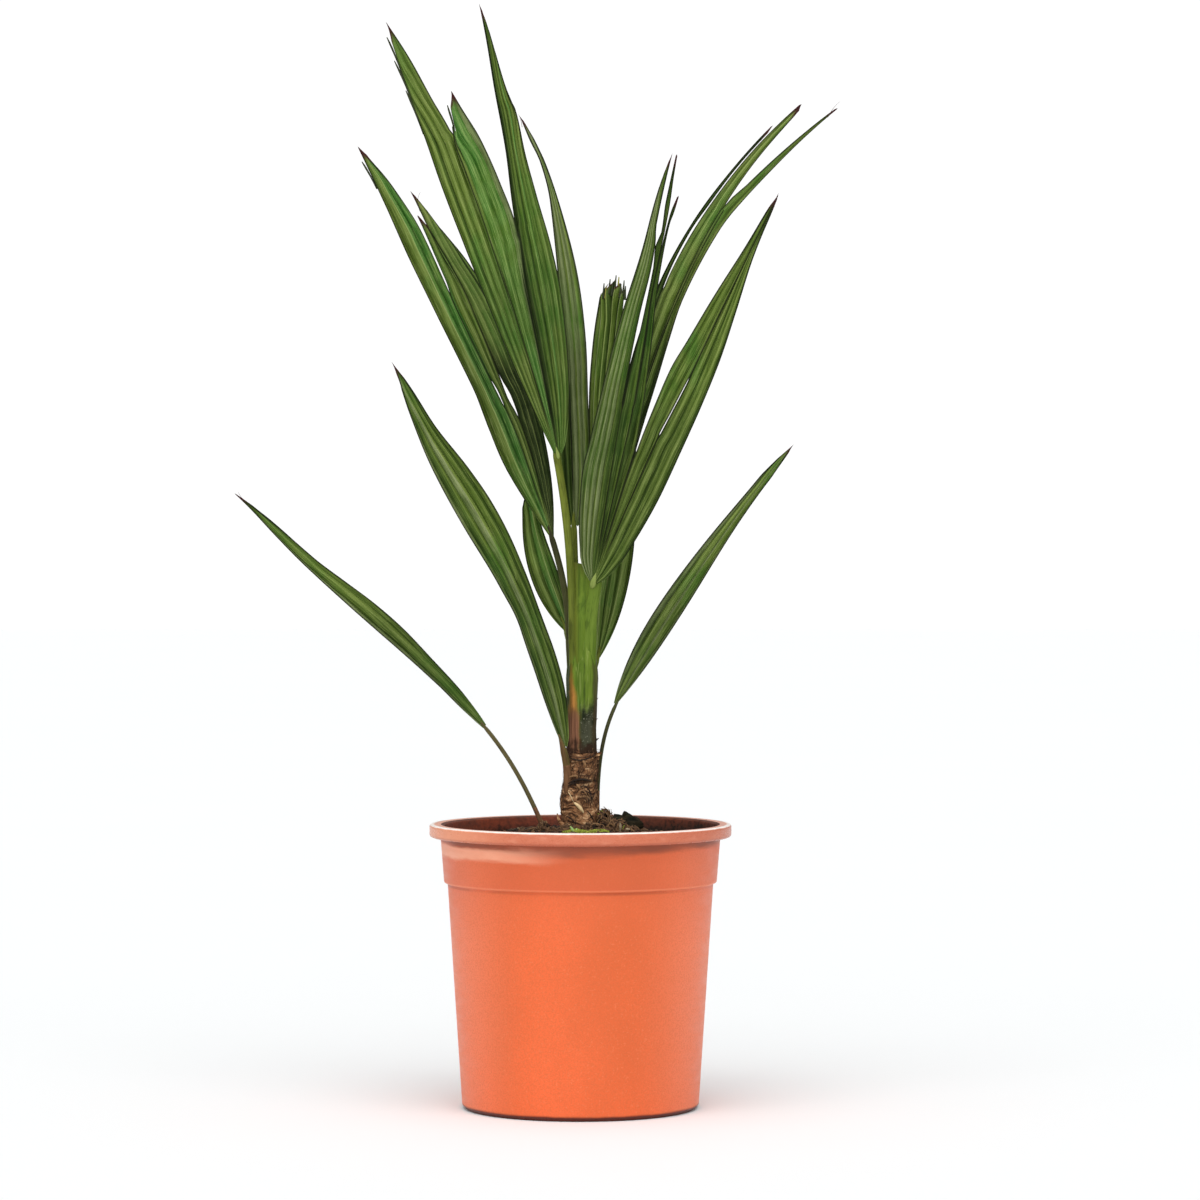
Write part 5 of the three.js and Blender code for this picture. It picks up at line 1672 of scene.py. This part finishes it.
def build_strands(settings, rng):
    """Fine fibres all round the trunk, the swirl of fibre on its front and one torn pale streak."""
    heap = Heap(["Strand brown", "Strand dark", "Strand tan", "Strand pale"])
    for _ in range(settings.strands):
        turn = rng.uniform(0, 2 * np.pi)
        low = rng.uniform(156, 195)
        length = rng.uniform(4, 14)
        slope = rng.normal(0.15, 0.55)
        steps = np.linspace(0, 1, 11)
        heights = low + steps * length * math.cos(slope)
        turns = turn + steps * length * math.sin(slope) / 11 + 0.07 * np.sin(steps * 7 + turn)
        lift = 1.1 + 0.3 * np.sin(steps * rng.uniform(3, 9) + turn) + rng.uniform(0.0, 0.9)
        heights = np.clip(heights, 155.9, 202.0)
        kind = ("Strand brown", "Strand dark", "Strand tan")[int(rng.choice(3, p=(0.46, 0.4, 0.14)))]
        radius = rng.uniform(0.06, 0.17)
        path = on_trunk(settings, turns, heights, lift)
        pour_tube(heap, path, np.linspace(radius, 0.5 * radius, 11), 5, kind)
    for ring in range(11):
        turn = np.linspace(rng.uniform(-0.5, 0.4), rng.uniform(1.7, 3.0), 14)
        size = (1.0 + 0.52 * ring) * (1 + 0.12 * np.sin(turn * 2.3 + ring * 1.7))
        x = 1.9 + rng.normal(0, 0.25) + size * np.cos(turn) * 0.85
        heights = 172.6 + rng.normal(0, 0.3) + size * np.sin(turn) * 1.35 - 0.25 * size * np.cos(turn)
        kind = ("Strand tan", "Strand dark", "Strand brown")[ring % 3]
        path = front_path(settings, x, heights, 2.3 - 0.07 * ring)
        width = rng.uniform(0.16, 0.34)
        pour_tube(heap, path, width * np.sin(np.linspace(0.3, np.pi - 0.3, 14)) + 0.05, 7, kind, flat=0.7)
    for a, b, bend, radius, kind in (
        ((-3.6, 172.4), (1.9, 166.6), 0.9, 1.1, "Strand pale"),
        ((-3.0, 173.8), (1.4, 169.2), 0.8, 0.6, "Strand tan"),
        ((-7.0, 178.6), (-3.6, 172.2), 0.5, 0.28, "Strand pale"),
        ((-7.8, 187.6), (-6.4, 186.6), 0.2, 0.42, "Strand pale"),
        ((1.0, 196.6), (3.2, 192.6), 0.5, 0.8, "Strand tan"),
        ((-2.2, 182.6), (-0.2, 180.2), 0.4, 0.8, "Strand tan"),
        ((-7.4, 182.8), (6.4, 184.2), 1.9, 0.7, "Strand dark"),
        ((-7.0, 181.6), (-1.6, 183.6), 0.5, 0.5, "Strand dark"),
        ((-7.8, 185.4), (-1.0, 187.4), 0.9, 0.5, "Strand tan"),
        ((-1.8, 187.6), (5.4, 186.4), 0.7, 0.3, "Strand brown"),
        ((-7.2, 198.0), (8.2, 199.2), -2.4, 0.5, "Strand dark"),
        ((-6.8, 199.4), (7.8, 200.6), -2.2, 0.34, "Strand brown"),
        ((-8.4, 165.0), (-2.4, 160.4), 0.8, 0.34, "Strand dark"),
        ((3.6, 168.2), (8.2, 160.6), 0.8, 0.36, "Strand dark"),
    ):
        steps = np.linspace(0, 1, 13)
        x = a[0] + (b[0] - a[0]) * steps
        heights = a[1] + (b[1] - a[1]) * steps + bend * np.sin(np.pi * steps)
        path = front_path(settings, x, heights, 2.1 + 0.3 * np.sin(steps * np.pi))
        pour_tube(heap, path, radius * np.sin(np.linspace(0.3, np.pi - 0.25, 13)), 7, kind, flat=0.6)
    seat(heap.build("trunk_strands"), "trunk_fibre")


def build_sheath():
    """The bundle of stalk feet wrapped in green sheath, grooved between them."""
    sides, rows = 144, 90
    height = np.linspace(TRUNK_TOP - 1, FORK_HEIGHT + 4, rows)
    turn = round_turns(sides)
    turns, heights = np.meshgrid(turn, height)
    grow = smoothstep(206, 262, heights)
    ridge = np.zeros_like(heights)
    for frond in FRONDS:
        if frond.foot[2] < 230:
            continue
        away = frond.foot[:2] - (TRUNK_LEAN, 0)
        reach = np.linalg.norm(away) + frond.stalk[0] * 1.08
        aim = math.atan2(away[1], away[0])
        gap = (turns - aim + np.pi) % (2 * np.pi) - np.pi
        wide = 0.62 * max(frond.stalk[0], 1.9) / 2.4
        begin = 262 if frond.foot[2] > FORK_HEIGHT else frond.foot[2] + 4
        ease = smoothstep(begin - 56, begin - 4, heights) * smoothstep(begin + 14, begin + 2, heights)
        ridge = np.maximum(ridge, (reach - 6.6) * np.exp(-(gap / wide) ** 2) * ease)
    radius = 8.0 - 1.5 * grow - 2.4 * smoothstep(240, 262, heights) + ridge
    radius += 0.14 * np.sin(turns * 17 + heights * 0.02) + 0.5 * smoothstep(214, 201, heights)
    close = np.clip((heights - FORK_HEIGHT) / 4, 0, 1)
    radius *= np.sqrt(np.clip(1 - close ** 2, 0.02, 1))
    points = np.stack([TRUNK_LEAN + radius * np.cos(turns), radius * np.sin(turns), heights], -1)
    points = points.reshape(-1, 3)
    heap = Heap(["Leaf sheath", "Strand dark", "Strand brown", "Stalk web"])
    heap.add(points, grid_faces(rows, sides, closed=True), "Leaf sheath")
    heap.close(rows, sides, (TRUNK_LEAN, 0, TRUNK_TOP - 1), (TRUNK_LEAN, 0, FORK_HEIGHT + 4))
    for z, size, kind in ((230.4, 0.8, "Strand brown"), (207.8, 1.3, "Strand dark"),
                          (219, 0.5, "Strand brown")):
        path = np.array([(8.2, -1.5, z - 1.2), (9.0, -1.7, z - 0.3), (9.2 + size, -1.8, z + 0.5)])
        pour_tube(heap, path, (0.7 * size, 0.5 * size, 0.12), 7, kind)
    heap.fields.clear()
    pour_webs(heap)
    seat(heap.build("sheath_bundle", crease=70), "sheath", "leaf_sheath")


def pour_webs(heap):
    """Thin walls of sheath that still join neighbouring stalks above the fork."""
    paths = {frond.node: stalk_path(frond) for frond in FRONDS}
    for first, second, low, tops, dip in WEBS:
        rows, columns = 26, 13
        across = np.linspace(0, 1, columns)
        top = tops[0] + (tops[1] - tops[0]) * across - dip * np.sin(np.pi * across) ** 0.8
        heights = low + (top[None] - low) * np.linspace(0, 1, rows)[:, None]
        ends = []
        for name in (first, second):
            path = paths[name]
            ends.append(np.stack([np.interp(heights, path[:, 2], path[:, k]) for k in (0, 1)], -1))
        flat = ends[0] + (ends[1] - ends[0]) * across[None, :, None]
        middle = np.concatenate([flat, heights[..., None]], -1)
        span = ends[1] - ends[0]
        outward = np.stack([span[..., 1], -span[..., 0]], -1)
        outward /= np.linalg.norm(outward, axis=-1, keepdims=True) + 1e-9
        outer = 3.2 - 5.0 * smoothstep(272, 294, heights) if first == "frond_left_front" else -0.9
        bulge = np.sin(np.pi * across)[None] * outer
        middle[..., :2] += outward * bulge[..., None]
        thin = np.concatenate([outward * 0.3, np.zeros(heights.shape + (1,))], -1)
        quads = grid_faces(rows, columns)
        sheet = np.concatenate([(middle + thin).reshape(-1, 3), (middle - thin).reshape(-1, 3)])
        size = rows * columns
        top_row = (rows - 1) * columns + np.arange(columns - 1)
        lip = np.stack([top_row, top_row + 1, top_row + 1 + size, top_row + size], 1)
        heap.add(sheet, np.concatenate([quads, quads[:, ::-1] + size, lip]), "Stalk web")


class PALM_OT_trunk(bpy.types.Operator):
    """Builds the fibrous trunk, its old leaf bases and strands, and the green leaf sheath"""
    bl_idname = "palm.trunk"
    bl_label = "Build the trunk"

    def execute(self, context):
        settings = context.scene.palm_trunk
        make_trunk_materials()
        rng = np.random.default_rng(settings.seed)
        build_core(settings)
        build_scales(settings, rng)
        build_strands(settings, rng)
        build_sheath()
        return {"FINISHED"}


# Stage: where the camera stands and aims, in metres, and how bright the camera sees the room
CAMERA_X = 0.011
CAMERA_HEIGHT = 0.328
AIM_HEIGHT = 0.286
ROOM_SEEN = 1.05


def add_sun(scene, name, strength, source, spread):
    lamp = bpy.data.lights.new(name, "SUN")
    lamp.energy = strength
    lamp.angle = math.radians(spread)
    sun = bpy.data.objects.new(name, lamp)
    sun.rotation_euler = (-Vector(source)).to_track_quat("-Z", "Y").to_euler()
    scene.collection.objects.link(sun)


class PALM_OT_stage(bpy.types.Operator):
    """Sets the pale floor, the soft studio light and the camera"""
    bl_idname = "palm.stage"
    bl_label = "Set the stage"

    def execute(self, context):
        settings = context.scene.palm_stage
        scene = context.scene
        half = settings.floor_size / 2
        mesh = bpy.data.meshes.new("floor")
        mesh.from_pydata([(-half, -half, 0), (half, -half, 0), (half, half, 0), (-half, half, 0)], [],
                         [(0, 1, 2, 3)])
        tree, shader = new_material("Pale floor", 0.8, 0.1)
        cloud = noise(place(tree), 3.0, 2.0)
        feed(shader.inputs["Base Color"], blend(cloud, (0.908, 0.922, 0.926, 1), (0.918, 0.932, 0.936, 1)))
        mesh.materials.append(bpy.data.materials["Pale floor"])
        floor = bpy.data.objects.new("floor", mesh)
        scene.collection.objects.link(floor)

        world = bpy.data.worlds.new("Studio")
        world.use_nodes = True
        scene.world = world
        tree = world.node_tree
        tree.nodes.clear()
        light = put(tree, "ShaderNodeBackground")
        light.inputs["Color"].default_value = (1.0, 1.0, 1.0, 1.0)
        light.inputs["Strength"].default_value = settings.sky_strength
        seen = put(tree, "ShaderNodeBackground")
        seen.inputs["Color"].default_value = (1.0, 1.0, 1.0, 1.0)
        seen.inputs["Strength"].default_value = ROOM_SEEN
        mix = put(tree, "ShaderNodeMixShader")
        tree.links.new(put(tree, "ShaderNodeLightPath").outputs["Is Camera Ray"], mix.inputs[0])
        tree.links.new(light.outputs[0], mix.inputs[1])
        tree.links.new(seen.outputs[0], mix.inputs[2])
        tree.links.new(mix.outputs[0], put(tree, "ShaderNodeOutputWorld").inputs[0])

        add_sun(scene, "Key light", settings.key_strength, (-0.04, -0.25, 1.0), 65)
        add_sun(scene, "Front light", settings.front_strength, (-0.02, -1.0, 0.72), 90)

        camera = bpy.data.objects.new("Camera", bpy.data.cameras.new("Camera"))
        scene.collection.objects.link(camera)
        camera.data.lens = settings.lens / MM
        camera.data.sensor_width = 36.0
        camera.location = (CAMERA_X, -settings.camera_reach, CAMERA_HEIGHT)
        aim = Vector((CAMERA_X, 0.0, AIM_HEIGHT)) - camera.location
        camera.rotation_euler = aim.to_track_quat("-Z", "Y").to_euler()
        camera.data.clip_start = 0.05
        camera.data.clip_end = 60.0
        scene.camera = camera
        scene.view_settings.view_transform = "Standard"
        return {"FINISHED"}


class PALM_PT_panel(bpy.types.Panel):
    """The palm's settings and the operators that build it"""
    bl_idname = "PALM_PT_panel"
    bl_label = "Potted fan palm"
    bl_space_type = "VIEW_3D"
    bl_region_type = "UI"
    bl_category = "Palm"

    def draw(self, context):
        for name, (settings, operator) in PARTS.items():
            box = self.layout.box()
            for label in settings.__annotations__:
                box.prop(getattr(context.scene, name), label)
            box.operator(operator.bl_idname)


PARTS = {
    "palm_pot": (PotSettings, PALM_OT_pot),
    "palm_soil": (SoilSettings, PALM_OT_soil),
    "palm_trunk": (TrunkSettings, PALM_OT_trunk),
    "palm_fronds": (FrondSettings, PALM_OT_fronds),
    "palm_stage": (StageSettings, PALM_OT_stage),
}


def register():
    for name, (settings, operator) in PARTS.items():
        bpy.utils.register_class(settings)
        bpy.utils.register_class(operator)
        setattr(bpy.types.Scene, name, PointerProperty(type=settings))
    bpy.utils.register_class(PALM_PT_panel)


def unregister():
    bpy.utils.unregister_class(PALM_PT_panel)
    for name, (settings, operator) in PARTS.items():
        delattr(bpy.types.Scene, name)
        bpy.utils.unregister_class(operator)
        bpy.utils.unregister_class(settings)


def write_sizes():
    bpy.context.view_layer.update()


def main():
    register()
    make_grain_group()
    make_streak_group()
    make_pleat_group()
    bpy.ops.palm.pot()
    bpy.ops.palm.soil()
    bpy.ops.palm.trunk()
    bpy.ops.palm.fronds()
    bpy.ops.palm.stage()
    write_sizes()


if __name__ == "__main__":
    main()
